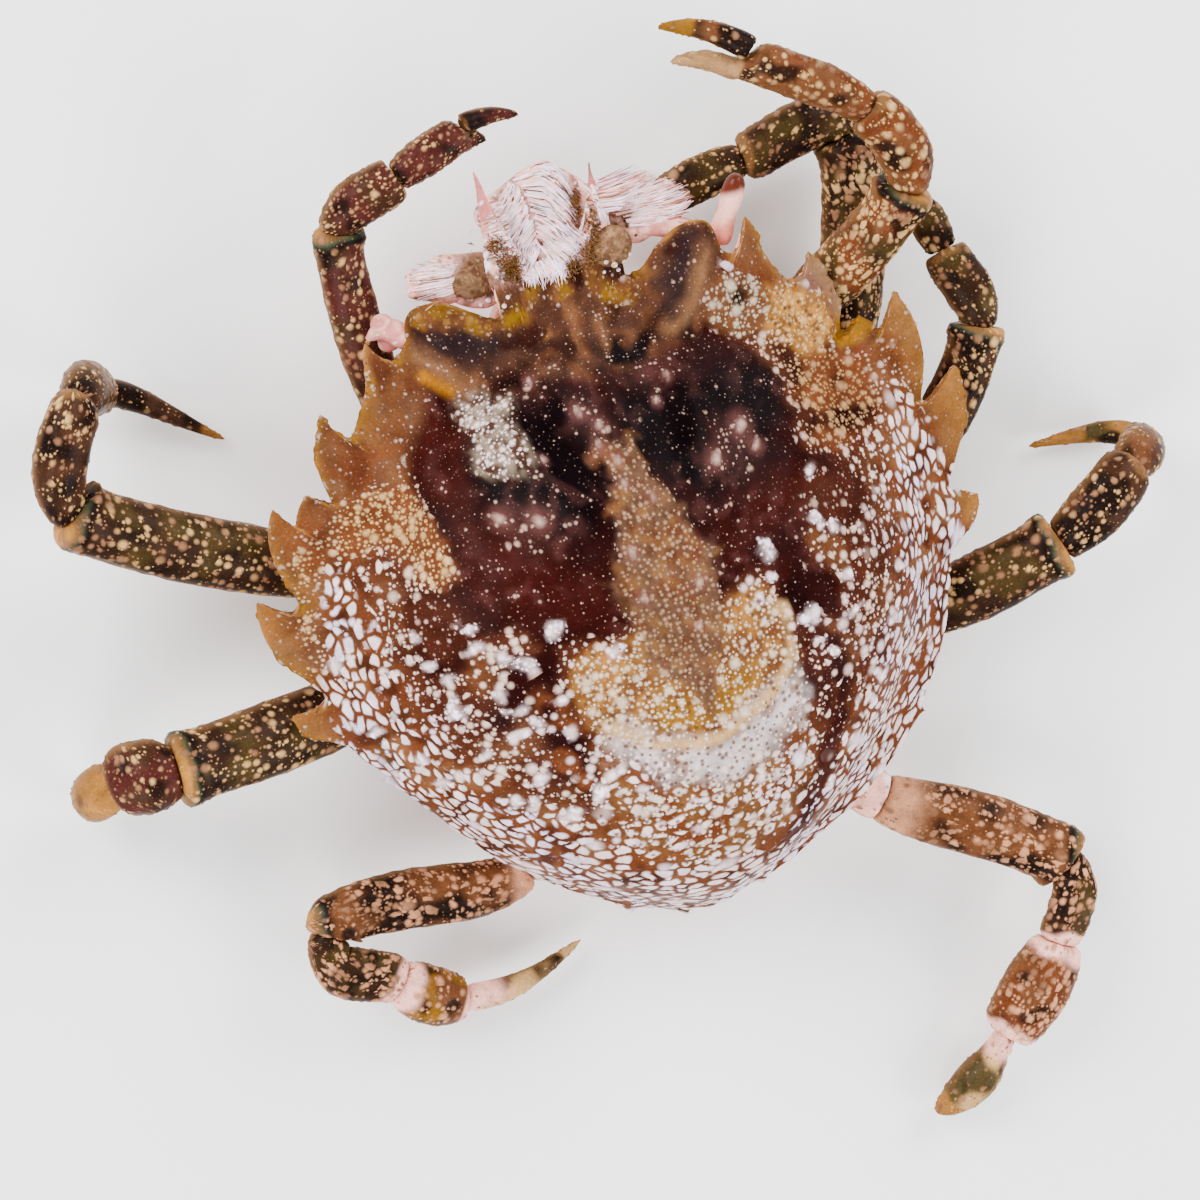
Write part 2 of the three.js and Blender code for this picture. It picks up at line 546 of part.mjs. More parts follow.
// The tuft of hair under and between the horns, a fan that opens forward.
function tuftGeometry() {
  const outline = [
    [-0.8, 13.0], [0.8, 13.0], [1.7, 14.2], [2.2, 15.0], [1.7, 15.7], [1.0, 16.3], [0.1, 16.5],
    [-0.9, 16.1], [-1.9, 15.7], [-2.4, 15.1], [-1.8, 14.2],
  ];
  return plateGeometry(outline, 1.0, 0.3).translate(0, 0, 5.0);
}

addPiece('snout_hair', tuftGeometry(), 'hair');

// ---------------------------------------------------------------- limbs

// A limb's course: one smooth curve for each segment, with shared directions at the joints.
function limbCourse(joints, kneeBow) {
  const places = joints.map(point);
  const along = places.slice(1).map((p, i) => p.clone().sub(places[i]));
  const headings = places.map((_, i) => {
    const before = along[Math.max(i - 1, 0)].clone().normalize();
    const after = along[Math.min(i, along.length - 1)].clone().normalize();
    return before.lerp(after, kneeBow ? 0.5 : JOINT_TURN[i]).normalize();
  });
  return along.map((step, i) => {
    const bend = Math.min(step.length() * 0.38, BEND_LENGTH);
    const leave = places[i].clone().addScaledVector(headings[i], bend);
    const arrive = places[i + 1].clone().addScaledVector(headings[i + 1], -bend);
    if (kneeBow && i === 2) leave.copy(point(kneeBow));
    return new THREE.CubicBezierCurve3(places[i], leave, arrive, places[i + 1]);
  });
}

// A cross-section square to the heading, with its upright side kept as near to up as it can be.
function limbSection(centre, heading, up, halfWidth, halfHeight) {
  const sideways = new THREE.Vector3().crossVectors(heading, up).normalize();
  const upright = new THREE.Vector3().crossVectors(sideways, heading).normalize();
  return Array.from({ length: LIMB_SIDES }, (_, i) => {
    const angle = (2 * Math.PI * i) / LIMB_SIDES;
    return centre.clone()
      .addScaledVector(sideways, Math.cos(angle) * halfWidth)
      .addScaledVector(upright, Math.sin(angle) * halfHeight);
  });
}

// The sections of one segment. up is carried along, so that sections never twist.
function segmentSections(curve, profile, halfWidth, flatness, up) {
  const length = curve.getLength();
  const end = GAP / 2 / length;
  return profile.map(([share, width]) => {
    const t = THREE.MathUtils.lerp(end, 1 - end, share);
    const heading = curve.getTangent(t);
    up.addScaledVector(heading, -up.dot(heading)).normalize();
    return limbSection(curve.getPoint(t), heading, up, width * halfWidth, width * halfWidth * flatness);
  });
}

function centreOf(section) {
  return section.reduce((sum, p) => sum.add(p), new THREE.Vector3()).divideScalar(section.length);
}

const capped = (sections) => ringSolid(centreOf(sections[0]), sections, centreOf(sections.at(-1)));

// A finger of a claw: tapers and bends from its root to its tip.
function fingerSections(root, tip, heading, halfWidth, flatness, bow) {
  const middle = root.clone().lerp(tip, 0.55);
  const sideways = new THREE.Vector3().crossVectors(heading, new THREE.Vector3(0, 0, 1)).normalize();
  const curve = new THREE.QuadraticBezierCurve3(root, middle.addScaledVector(sideways, bow), tip);
  const taper = [[0, 1], [0.3, 0.92], [0.6, 0.72], [0.85, 0.42]];
  return taper.map(([t, width]) => limbSection(
    curve.getPoint(t), curve.getTangent(t), new THREE.Vector3(0, 0, 1), width * halfWidth, width * halfWidth * flatness));
}

// The palm of a claw with its fixed finger, and the movable finger beside it.
function buildClaw(limb, curve, up) {
  const palmWidth = limb.halfWidths[3];
  const palmProfile = [[0, 0.7], [0.12, 0.86], [0.4, 1], [0.72, 0.98], [0.95, 0.88]];
  const sections = segmentSections(curve, palmProfile, palmWidth, limb.flatness, up);
  const heading = curve.getTangent(1);
  const sideways = new THREE.Vector3().crossVectors(heading, up).normalize().multiplyScalar(limb.fingerSide);
  const end = curve.getPoint(1);
  const fingerWidth = limb.halfWidths[4];
  const offset = fingerWidth + GAP * 0.7;
  const fixedRoot = end.clone().addScaledVector(sideways, offset).addScaledVector(heading, 0.15);
  const movableRoot = end.clone().addScaledVector(sideways, -offset).addScaledVector(heading, 0.2);
  const fixedTip = point(limb.fixedFinger);
  const movableTip = point(limb.joints.at(-1));
  const bow = limb.tipBow * limb.fingerSide;
  const fixed = fingerSections(fixedRoot, fixedTip, heading, fingerWidth * 0.9, 1.1, bow * 0.7);
  addPiece(`${limb.name}_palm`, ringSolid(centreOf(sections[0]), [...sections, ...fixed], fixedTip), limb.tone);
  const movable = fingerSections(movableRoot, movableTip, heading, fingerWidth, 1.1, bow);
  addPiece(`${limb.name}_finger`, ringSolid(centreOf(movable[0]), movable, movableTip), 'tip');
}

function buildLimb(limb) {
  const curves = limbCourse(limb.joints, limb.kneeBow);
  const up = new THREE.Vector3(0, 0, 1);
  const [baseWidth, merusWidth, carpusWidth, propodusWidth, dactylusWidth] = limb.halfWidths;
  const solid = (i, kind, halfWidth) => capped(segmentSections(curves[i], PROFILES[kind], halfWidth, limb.flatness, up));
  addPiece(`${limb.name}_base`, solid(0, 'base', baseWidth), 'under');
  addPiece(`${limb.name}_merus`, solid(1, 'merus', merusWidth), limb.tone);
  addPiece(`${limb.name}_carpus`, solid(2, 'carpus', carpusWidth), limb.tone);
  if (limb.fixedFinger) {
    buildClaw(limb, curves[3], up);
    return;
  }
  addPiece(`${limb.name}_propodus`, solid(3, 'propodus', propodusWidth), limb.tone);
  const tipCurve = curves[4];
  const level = new THREE.Vector3().crossVectors(tipCurve.getTangent(0.5), new THREE.Vector3(0, 0, 1)).normalize();
  tipCurve.v1.addScaledVector(level, limb.tipBow * 0.4);
  tipCurve.v2.addScaledVector(level, limb.tipBow * 1.2);
  const tipProfile = PROFILES[limb.tipProfile ?? 'dactylus'];
  const claw = segmentSections(tipCurve, tipProfile, dactylusWidth, 1, up);
  addPiece(`${limb.name}_dactylus`, ringSolid(centreOf(claw[0]), claw, tipCurve.getPoint(1)), 'tip');
}

LIMBS.forEach(buildLimb);

function buildStub({ name, root, end, halfWidth }) {
  const curve = new THREE.LineCurve3(point(root), point(end));
  const up = new THREE.Vector3(0, 0, 1);
  const profile = [[0, 0.8], [0.2, 0.95], [0.6, 0.9], [0.9, 0.8], [1, 0.45]];
  addPiece(name, capped(segmentSections(curve, profile, halfWidth, 0.8, up)), 'under');
}

buildStub(LOST_LEG);

export default crab;
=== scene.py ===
# %% [markdown]
# # A spider crab, lying on a pale table
# The crab comes as a frame: 56 closed solids, one for each hard plate of the animal. Each plate already has
# its place and its main shape, and here each one gets its rounded surface, its warts and beads, and its
# colours. Everything is in metres, and the crab is only about five centimetres across, so most values below
# are written in millimetres and multiplied by MM.
# %% Loading the crab's plates
import math
import random

import bpy
import numpy as np
from mathutils import Matrix, Vector, noise
from mathutils.bvhtree import BVHTree


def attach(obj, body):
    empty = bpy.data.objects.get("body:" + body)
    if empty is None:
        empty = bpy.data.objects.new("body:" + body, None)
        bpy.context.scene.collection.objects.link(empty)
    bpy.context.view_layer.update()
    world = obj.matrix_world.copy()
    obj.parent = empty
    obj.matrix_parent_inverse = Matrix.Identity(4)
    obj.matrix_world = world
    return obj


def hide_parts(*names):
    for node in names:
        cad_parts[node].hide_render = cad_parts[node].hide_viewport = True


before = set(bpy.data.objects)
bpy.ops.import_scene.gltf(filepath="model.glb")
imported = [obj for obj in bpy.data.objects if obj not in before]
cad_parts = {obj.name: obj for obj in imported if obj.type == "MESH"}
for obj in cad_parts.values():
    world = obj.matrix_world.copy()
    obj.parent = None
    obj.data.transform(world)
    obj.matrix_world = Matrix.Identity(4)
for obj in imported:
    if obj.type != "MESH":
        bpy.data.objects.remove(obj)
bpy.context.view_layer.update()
MM = 0.001
print("plates:", len(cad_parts))

# %% [markdown]
# ## The camera
# The crab is seen from above, a little from its left front. A long lens from a third of a metre away keeps
# the limbs' proportions true. The camera is placed by its three directions, which is exact, where turning
# it by angles would need three rotations in the right order.
# %% Camera
CAMERA_RIGHT = Vector((0.92275, -0.25083, 0.29259))
CAMERA_UP = Vector((0.30154, 0.94270, -0.14281))
CAMERA_BACK = Vector((-0.24, 0.22, 0.9455))
CAMERA_PLACE = Vector((-78.249, 69.899, 307.814)) * MM
LENS_MM = 249.6
SENSOR_MM = 36.0
NEAREST_SEEN = 0.02
FARTHEST_SEEN = 5

camera_data = bpy.data.cameras.new("camera")
camera_data.lens = LENS_MM
camera_data.sensor_width = SENSOR_MM
camera_data.clip_start = NEAREST_SEEN
camera_data.clip_end = FARTHEST_SEEN
camera = bpy.data.objects.new("camera", camera_data)
bpy.context.collection.objects.link(camera)
camera_turn = Matrix((CAMERA_RIGHT, CAMERA_UP, CAMERA_BACK)).transposed().to_4x4()
camera_turn.translation = CAMERA_PLACE
camera.matrix_world = camera_turn
bpy.context.scene.camera = camera
print("camera above the table, in mm:", round(CAMERA_PLACE.z / MM))

# %% [markdown]
# ## Table and lights
# A specimen is shown on a white table under a soft light. The table is one big plane. A pale sky lights it
# from all sides, and four wide lamps stand low around it. Low lamps leave the top of a dark shell free of a
# grey sheen, and still put a glint on the side of every bead.
# %% Table and lights
SKY_STRENGTH = 0.6
LAMP_SIZE = 300
LOOK_AT = Vector((0, 0, 5)) * MM
LAMPS = {"front_left_lamp": ((-270, 310, 290), 5.4), "front_right_lamp": ((330, 250, 290), 3.6),
         "back_right_lamp": ((290, -300, 290), 3.0), "back_left_lamp": ((-320, -260, 290), 3.6)}

world = bpy.data.worlds.new("sky")
bpy.context.scene.world = world
world.use_nodes = True
sky = world.node_tree.nodes["Background"]
sky.inputs["Color"].default_value = (1, 1, 1, 1)
sky.inputs["Strength"].default_value = SKY_STRENGTH


def soft_lamp(name, place, power):
    """Adds a square lamp that faces the crab."""
    data = bpy.data.lights.new(name, "AREA")
    data.size = LAMP_SIZE * MM
    data.energy = power
    lamp = bpy.data.objects.new(name, data)
    bpy.context.collection.objects.link(lamp)
    lamp.location = Vector(place) * MM
    lamp.rotation_euler = (LOOK_AT - lamp.location).to_track_quat("-Z", "Y").to_euler()


for lamp_name, (lamp_place, lamp_power) in LAMPS.items():
    soft_lamp(lamp_name, lamp_place, lamp_power)

TABLE_SIZE = 3
TABLE_DROP = 0.2 * MM
TABLE_WHITE = (0.9, 0.9, 0.9, 1)
TABLE_ROUGHNESS = 0.9
bpy.ops.object.select_all(action="DESELECT")
bpy.ops.mesh.primitive_plane_add(size=TABLE_SIZE, location=(0, 0, -TABLE_DROP))
table = bpy.context.object
table.name = "table"
table_paint = bpy.data.materials.new("table_paint")
table_paint.use_nodes = True
table_shader = table_paint.node_tree.nodes["Principled BSDF"]
table_shader.inputs["Base Color"].default_value = TABLE_WHITE
table_shader.inputs["Roughness"].default_value = TABLE_ROUGHNESS
table.data.materials.append(table_paint)
print("lamps:", len(LAMPS))

# %% [markdown]
# ## Small helpers
# An operator acts on all that is selected, so each step starts by selecting just the piece it means. Vertex
# places are read and written as one array, which is far quicker than one vertex at a time.
# %% Small helpers for meshes
MERGE_MM = 0.001
FLATTEST_PAIR = math.radians(50)
SQUAREST_PAIR = math.radians(60)
TRIAL_LEVEL = 2
TRIAL_ROUNDS = 2
TRIAL_PULL = 0.85


def select_only(*objects):
    """Selects these objects and nothing else, and makes the first one active."""
    bpy.ops.object.select_all(action="DESELECT")
    for thing in objects:
        thing.select_set(True)
    bpy.context.view_layer.objects.active = objects[0]


def points_of(mesh):
    """The mesh's vertex places as an array of three columns."""
    places = np.empty(len(mesh.vertices) * 3, np.float32)
    mesh.vertices.foreach_get("co", places)
    return places.reshape(-1, 3).astype(float)


def put_points(mesh, places):
    """Writes the places back into the mesh."""
    mesh.vertices.foreach_set("co", np.asarray(places, np.float32).ravel())
    mesh.update()


def plain_copy(node_name, name):
    """Copies a plate, joins its loose triangles into one skin and pairs them into quads."""
    select_only(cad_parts[node_name])
    bpy.ops.object.duplicate()
    copy = bpy.context.object
    copy.name = name
    copy.data.name = name
    bpy.ops.mesh.customdata_custom_splitnormals_clear()
    bpy.ops.object.mode_set(mode="EDIT")
    bpy.ops.mesh.select_all(action="SELECT")
    bpy.ops.mesh.remove_doubles(threshold=MERGE_MM * MM)
    bpy.ops.mesh.tris_convert_to_quads(face_threshold=FLATTEST_PAIR, shape_threshold=SQUAREST_PAIR)
    bpy.ops.object.mode_set(mode="OBJECT")
    return copy


def subdivided_places(obj, cage):
    """Where the vertices of the cage end up after subdivision."""
    put_points(obj.data, cage)
    modifier = obj.modifiers.new("trial", "SUBSURF")
    modifier.levels = modifier.render_levels = TRIAL_LEVEL
    seen = obj.evaluated_get(bpy.context.evaluated_depsgraph_get()).to_mesh()
    places = points_of(seen)[:len(cage)]
    obj.modifiers.remove(modifier)
    return places


def round_off(obj, levels):
    """Subdivides the plate into a smooth skin that still passes through the plate's own corners."""
    goal = points_of(obj.data)
    cage = goal.copy()
    for _ in range(TRIAL_ROUNDS):
        cage += TRIAL_PULL * (goal - subdivided_places(obj, cage))
    put_points(obj.data, cage)
    select_only(obj)
    modifier = obj.modifiers.new("skin", "SUBSURF")
    modifier.levels = modifier.render_levels = levels
    bpy.ops.object.modifier_apply(modifier="skin")
    bpy.ops.object.shade_smooth()


print("corners closer than this are joined, in mm:", MERGE_MM)


# %% [markdown]
# ## The colours
# A colour is given as the share of red, green and blue light that the surface throws back. The table is lit
# brightly, so even a white bead throws back only two thirds of the light, and the darkest brown almost
# none.
# %% Colours
NIGHT = (0.0025, 0.001, 0.0014)
MAROON = (0.0115, 0.002, 0.0018)
RED_BROWN = (0.02, 0.003, 0.0022)
RUST = (0.09, 0.0245, 0.008)
BROWN = (0.04, 0.0155, 0.009)
OLIVE_BROWN = (0.0903, 0.032, 0.0121)
OLIVE = (0.0411, 0.0292, 0.0108)
TAN = (0.222, 0.0918, 0.018)
GOLD = (0.1621, 0.0685, 0.0042)
MUSTARD = (0.1497, 0.0689, 0.0014)
ORANGE = (0.2634, 0.0911, 0.001)
BEIGE = (0.076, 0.037, 0.0205)
# Colour of the pale specks: partly the shell's own specks, partly painted glints of light.
SPECK_AND_GLINT = (0.3, 0.19, 0.15)
KNOB_PINK = (0.36, 0.23, 0.19)
EARTH = (0.04, 0.0098, 0.005)
RIDGE_TAN = (0.2, 0.09, 0.038)
STREAK_BROWN = (0.14, 0.056, 0.022)
BACK_GOLD = (0.115, 0.046, 0.014)
FINGER_TAN = (0.26, 0.135, 0.056)
ROSE_TAN = (0.42, 0.19, 0.1)
ROOT_WHITE = (0.83, 0.66, 0.62)
STRIPE_GRAIN = (0.23, 0.135, 0.08)
PATCH_CREAM = (0.5, 0.37, 0.25)
DOTTED_WHITE = (0.43, 0.37, 0.36)
KNEE_GREEN = (0.03, 0.042, 0.024)
CAP_BROWN = (0.07, 0.013, 0.006)
CREAM = (0.4158, 0.243, 0.0968)
WHITE = (0.65, 0.5, 0.495)
SNOW = (0.8304, 0.6647, 0.7861)
PINK = (0.4976, 0.1538, 0.1392)
PALE_PINK = (0.78, 0.3813, 0.3114)
GREY_BLACK = (0.0122, 0.0073, 0.008)
ROSY = (0.1111, 0.0386, 0.0336)
LEG_DARK = (0.0072, 0.0038, 0.0031)
LEG_BROWN = (0.0327, 0.0134, 0.0072)
LEG_DUSK = (0.018, 0.0085, 0.005)
LEG_RED = (0.0412, 0.0102, 0.0083)
LEG_SPOT = (0.1838, 0.082, 0.0416)
LEG_OLIVE = (0.0359, 0.0216, 0.007)
CLAW_TAN = (0.1297, 0.0576, 0.0196)
SALMON = (0.7392, 0.2343, 0.164)
VELVET = (0.17, 0.09, 0.047)
VELVET_DARK = (0.06, 0.028, 0.014)
LAVENDER = (0.6, 0.5, 0.6)
TIP_TAN = (0.2955, 0.1264, 0.024)
PIT = (0.0789, 0.0281, 0.0131)
SILVER = (0.32, 0.2527, 0.1799)
HAIR_LINE = (0.1326, 0.0535, 0.0377)
print("red light thrown back by the darkest and the lightest:", NIGHT[0], SNOW[0])

# %% [markdown]
# ## Node trees in short words
# A finish is a tree of nodes. Each node would take four lines to add, set and link, so a small helper class
# does it in one. The same class serves a geometry tree: a bead that is painted by a texture and a bead that
# is raised by the same texture then lie in the same place.
# %% Node helper
class Web:
    """A node tree with short ways to add to it."""

    def __init__(self, tree):
        self.tree = tree

    def add(self, kind, inputs=(), **settings):
        """Adds a node with these settings. An input is a number, a colour or another node's output."""
        node = self.tree.nodes.new(kind)
        for key, value in settings.items():
            setattr(node, key, value)
        for key, value in dict(inputs).items():
            if isinstance(value, bpy.types.NodeSocket):
                self.tree.links.new(value, node.inputs[key])
            else:
                node.inputs[key].default_value = value
        return node

    def maths(self, operation, *values):
        """One sum on numbers."""
        return self.add("ShaderNodeMath", enumerate(values), operation=operation).outputs[0]

    def scaled(self, vector, factor):
        """A vector or colour times a number."""
        return self.add("ShaderNodeVectorMath", {0: vector, "Scale": factor}, operation="SCALE").outputs[0]

    def fade(self, value, low, high):
        """Rises softly from 0 to 1 as the value goes from low to high."""
        span = {"Value": value, "From Min": low, "From Max": high}
        return self.add("ShaderNodeMapRange", span, interpolation_type="SMOOTHSTEP").outputs[0]

    def noise(self, place, size, detail=3.0):
        """A cloudy value around one half, with clouds of this size."""
        inputs = {"Vector": place, "Scale": 1 / size, "Detail": detail}
        return self.add("ShaderNodeTexNoise", inputs).outputs[0]

    def patches(self, place, size, feature="F1", flat=False):
        """A pattern of cells of this size."""
        kind = {"voronoi_dimensions": "2D" if flat else "3D", "feature": feature}
        return self.add("ShaderNodeTexVoronoi", {"Vector": place, "Scale": 1 / size}, **kind)

    def blend(self, factor, first, second):
        """A mix of two colours."""
        mix = self.add("ShaderNodeMix", data_type="RGBA")
        for socket, value in ((0, factor), (6, first), (7, second)):
            if isinstance(value, bpy.types.NodeSocket):
                self.tree.links.new(value, mix.inputs[socket])
            else:
                mix.inputs[socket].default_value = value if socket == 0 else (*value, 1)
        return mix.outputs[2]

    def stored(self, name, vector=False):
        """What a mesh has stored under this name, in a material or in a geometry tree."""
        if self.tree.bl_idname == "GeometryNodeTree":
            kind = "FLOAT_VECTOR" if vector else "FLOAT"
            return self.add("GeometryNodeInputNamedAttribute", {"Name": name}, data_type=kind).outputs[0]
        return self.add("ShaderNodeAttribute", attribute_name=name).outputs["Vector" if vector else "Fac"]


# %% [markdown]
# ## Beads and cells
# A crab's shell is covered with calcareous beads. In the middle they are fine specks on dark skin, further
# out they grow into round beads, and on the flanks they crowd until only thin rusty lines are left between
# them. The pale specks are partly the shell's own specks and partly painted glints: small spots of light
# painted in the place of a wet shell's sparkle. A Voronoi texture gives all three: a disc around each of its
# points makes specks and beads, and its borders make the lines. How much of each kind there is comes from
# values stored on the mesh.
# %% Bead patterns
SPECK_AND_GLINT_MM = 0.23
GRAIN_MM = 0.22
PIT_MM = 0.34
BEAD_MM = 0.50
PEARL_MM = 0.95
BLOB_CELLS = 2.2
BLOB_SHARE = 0.42
DISC_EDGE = 1.2
DISC_CORE = 0.25
FLOW_SWAY = (1.3, 1.3, 0.0)
LINE_WIDTH = 0.05
CELL_SLOPE = 0.30


def discs(web, place, size, least, most, share, flat=True):
    """Discs of random sizes, from least to most, in cells. Returns their cover and a random number."""
    spot = web.patches(place, size, flat=flat)
    chance = web.add("ShaderNodeSeparateXYZ", {0: spot.outputs["Color"]})
    radius = web.maths("MULTIPLY_ADD", chance.outputs[0], most - least, least)
    edge = web.maths("MULTIPLY", radius, DISC_EDGE)
    core = web.maths("MULTIPLY", radius, DISC_CORE)
    cover = web.fade(spot.outputs["Distance"], edge, core)
    there = web.fade(chance.outputs[1], share, web.maths("SUBTRACT", share, 0.03))
    return web.maths("MULTIPLY", cover, there), chance.outputs[2]


def crowded_cells(web, flow, share, size=1.0):
    """Cells that crowd together, with thin lines between them. They shrink where their share is low."""
    shifted = web.add("ShaderNodeTexNoise", {"Vector": flow, "Scale": 0.45, "Detail": 1.0}).outputs["Color"]
    moved = {0: shifted, 1: FLOW_SWAY, 2: flow}
    flow = web.add("ShaderNodeVectorMath", moved, operation="MULTIPLY_ADD").outputs[0]
    second = web.patches(flow, size, "F2", True).outputs["Distance"]
    spot = web.patches(flow, size, flat=True)
    chance = web.add("ShaderNodeSeparateXYZ", {0: spot.outputs["Color"]})
    lead = web.maths("SUBTRACT", second, spot.outputs["Distance"])
    line = web.maths("MULTIPLY_ADD", web.maths("SUBTRACT", 1.0, share), 0.5, LINE_WIDTH)
    cover = web.fade(lead, line, web.maths("ADD", line, CELL_SLOPE))
    cover = web.maths("MULTIPLY", cover, web.fade(spot.outputs["Distance"], 0.72, 0.46))
    none, full = web.maths("MULTIPLY", share, 1.25), web.maths("MULTIPLY", share, 1.2)
    there = web.fade(chance.outputs[1], none, full)
    return web.maths("MULTIPLY", cover, there), chance.outputs[2]


def marks(web):
    """All the marks of a skin. Returns their cover, the raised ones, a random tone and the dark pits."""
    place = web.stored("place", True)
    flow = web.stored("flow", True)
    # The specks are partly the skin's own pale specks and partly painted glints: most are faint and a few
    # are bright, like sparkle on a wet shell.
    speck, speck_and_glint_tone = discs(web, place, SPECK_AND_GLINT_MM, 0.07, 0.23, web.stored("specks"))
    grain, grain_tone = discs(web, place, GRAIN_MM, 0.22, 0.50, web.stored("grains"))
    bead, bead_tone = discs(web, place, BEAD_MM, 0.18, 0.46, web.stored("beads"))
    pearl, _ = discs(web, place, PEARL_MM, 0.12, 0.34, web.stored("pearls"))
    cell, cell_tone = crowded_cells(web, flow, web.stored("cells"))
    blob_share = web.maths("MULTIPLY", web.stored("cells"), BLOB_SHARE)
    blob, _ = discs(web, flow, BLOB_CELLS, 0.12, 0.42, blob_share)
    blob = web.maths("MULTIPLY", blob, web.stored("cells"))
    pit, _ = discs(web, place, PIT_MM, 0.16, 0.40, web.stored("pits"))
    faint = web.maths("MULTIPLY_ADD", web.maths("POWER", speck_and_glint_tone, 4.0), 0.92, 0.08)
    speck = web.maths("MULTIPLY", speck, faint)
    raised = web.maths("MAXIMUM", web.maths("MAXIMUM", grain, bead), web.maths("MAXIMUM", cell, blob))
    raised = web.maths("MAXIMUM", raised, pearl)
    cover = web.maths("MAXIMUM", speck, raised)
    tone = web.maths("ADD", bead_tone, web.maths("ADD", cell_tone, grain_tone))
    tone = web.maths("MULTIPLY", tone, 0.33)
    return cover, raised, tone, pit


print("sizes in mm, from specks to pearls:", SPECK_AND_GLINT_MM, GRAIN_MM, BEAD_MM, PEARL_MM)

# %% [markdown]
# ## The skin's finish
# Real shell is never one flat colour. Wide clouds and a fine grit darken the ground, every bead has a tone
# of its own, and pits are dark. The bump comes from the same marks, for what is too fine to be in the mesh.
# %% The skin's finish
CLOUD_MM = 1.1
GRIT_MM = 0.14
ROUGH_MM = 0.10
ROUGH_SHARE = 0.14
PIT_DARKNESS = 0.85
PIT_DEPTH = 0.6


def skin_finish(name, roughness, gloss, bump_mm=0.035, mottle=0.5):
    """A skin: its ground colour with clouds in it, and beads in their own colour on top."""
    material = bpy.data.materials.new(name)
    material.use_nodes = True
    web = Web(material.node_tree)
    shader = material.node_tree.nodes["Principled BSDF"]
    place = web.stored("place", True)
    cover, raised, tone, pit = marks(web)
    clouds = web.maths("MULTIPLY_ADD", web.noise(place, CLOUD_MM, 4.0), 2.6 * mottle, 1 - 1.3 * mottle)
    grit = web.maths("MULTIPLY_ADD", web.noise(place, GRIT_MM, 3.0), 1.6 * mottle, 1 - 0.8 * mottle)
    ground = web.add("ShaderNodeAttribute", attribute_name="ground").outputs["Color"]
    ground = web.scaled(web.scaled(ground, clouds), grit)
    tint = web.add("ShaderNodeAttribute", attribute_name="tint").outputs["Color"]
    tint = web.scaled(tint, web.maths("MULTIPLY_ADD", tone, 0.7, 0.65))
    colour = web.blend(cover, ground, tint)
    colour = web.blend(web.maths("MULTIPLY", pit, PIT_DARKNESS), colour, PIT)
    web.tree.links.new(colour, shader.inputs["Base Color"])
    height = web.maths("MULTIPLY", web.noise(place, ROUGH_MM, 2.0), ROUGH_SHARE)
    height = web.maths("ADD", raised, height)
    height = web.maths("SUBTRACT", height, web.maths("MULTIPLY", pit, PIT_DEPTH))
    bump = web.add("ShaderNodeBump", {"Height": height, "Distance": bump_mm * MM, "Strength": 1.0})
    web.tree.links.new(bump.outputs[0], shader.inputs["Normal"])
    shader.inputs["Roughness"].default_value = roughness
    shader.inputs["Specular IOR Level"].default_value = gloss
    return material


# %% [markdown]
# ## Raising the marks
# Paint alone looks flat from the side. A geometry tree reads the same marks and lifts the skin under them.
# It is applied, so the beads become part of the mesh.
# %% Relief
RELIEF_MM = 0.05


def raise_marks(obj, height_mm=RELIEF_MM):
    """Lifts the skin under its beads and cells."""
    tree = bpy.data.node_groups.new("raise_marks", "GeometryNodeTree")
    tree.interface.new_socket("Geometry", in_out="INPUT", socket_type="NodeSocketGeometry")
    tree.interface.new_socket("Geometry", in_out="OUTPUT", socket_type="NodeSocketGeometry")
    web = Web(tree)
    raised = marks(web)[1]
    entry = web.add("NodeGroupInput")
    normal = web.add("GeometryNodeInputNormal").outputs[0]
    offset = web.scaled(normal, web.maths("MULTIPLY", raised, height_mm * MM))
    lifted = web.add("GeometryNodeSetPosition", {"Geometry": entry.outputs[0], "Offset": offset})
    web.add("NodeGroupOutput", {0: lifted.outputs[0]})
    select_only(obj)
    modifier = obj.modifiers.new("raise_marks", "NODES")
    modifier.node_group = tree
    bpy.ops.object.modifier_apply(modifier=modifier.name)


print("height of the beads, in mm:", RELIEF_MM)

# %% [markdown]
# ## Painting by place
# The zones of colour have names on a crab: lobes, saddle, stripe, flanks. Each is an outline on the shell,
# seen from above. A value goes softly from 1 inside to 0 outside, and the places are first shifted about by
# noise, so that no border is a clean line.
# %% Zone helpers
def soft(value, low, high):
    """Rises softly from 0 to 1 as the value goes from low to high."""
    share = np.clip((value - low) / (high - low), 0, 1)
    return share * share * (3 - 2 * share)


def clouds_at(points, size, shift=0.0):
    """Noise at each place, about -1 to 1, with clouds of this size."""
    drift = Vector((shift, 2.7 * shift, -1.3 * shift))
    return np.array([noise.noise(Vector(p) / size + drift) for p in points])


def line_distance(flat, corners, closed):
    """Distance from each place to a chain of corners, seen from above."""
    chain = np.array(corners, float)
    ends = np.roll(chain, -1, axis=0) if closed else chain[1:]
    best = np.full(len(flat), 1e9)
    for a, b in zip(chain, ends):
        along = b - a
        share = np.clip(((flat - a) @ along) / max(along @ along, 1e-9), 0, 1)
        best = np.minimum(best, np.hypot(*(flat - a - share[:, None] * along).T))
    return best


def inside(flat, corners, edge):
    """1 inside an outline and 0 outside, with a soft edge of this half width."""
    chain = np.array(corners, float)
    odd = np.zeros(len(flat), bool)
    for (ax, ay), (bx, by) in zip(chain, np.roll(chain, -1, axis=0)):
        crosses = (ay > flat[:, 1]) != (by > flat[:, 1])
        with np.errstate(divide="ignore", invalid="ignore"):
            odd ^= crosses & (flat[:, 0] < (bx - ax) * (flat[:, 1] - ay) / (by - ay) + ax)
    distance = line_distance(flat, corners, True)
    return soft(np.where(odd, distance, -distance), -edge, edge)


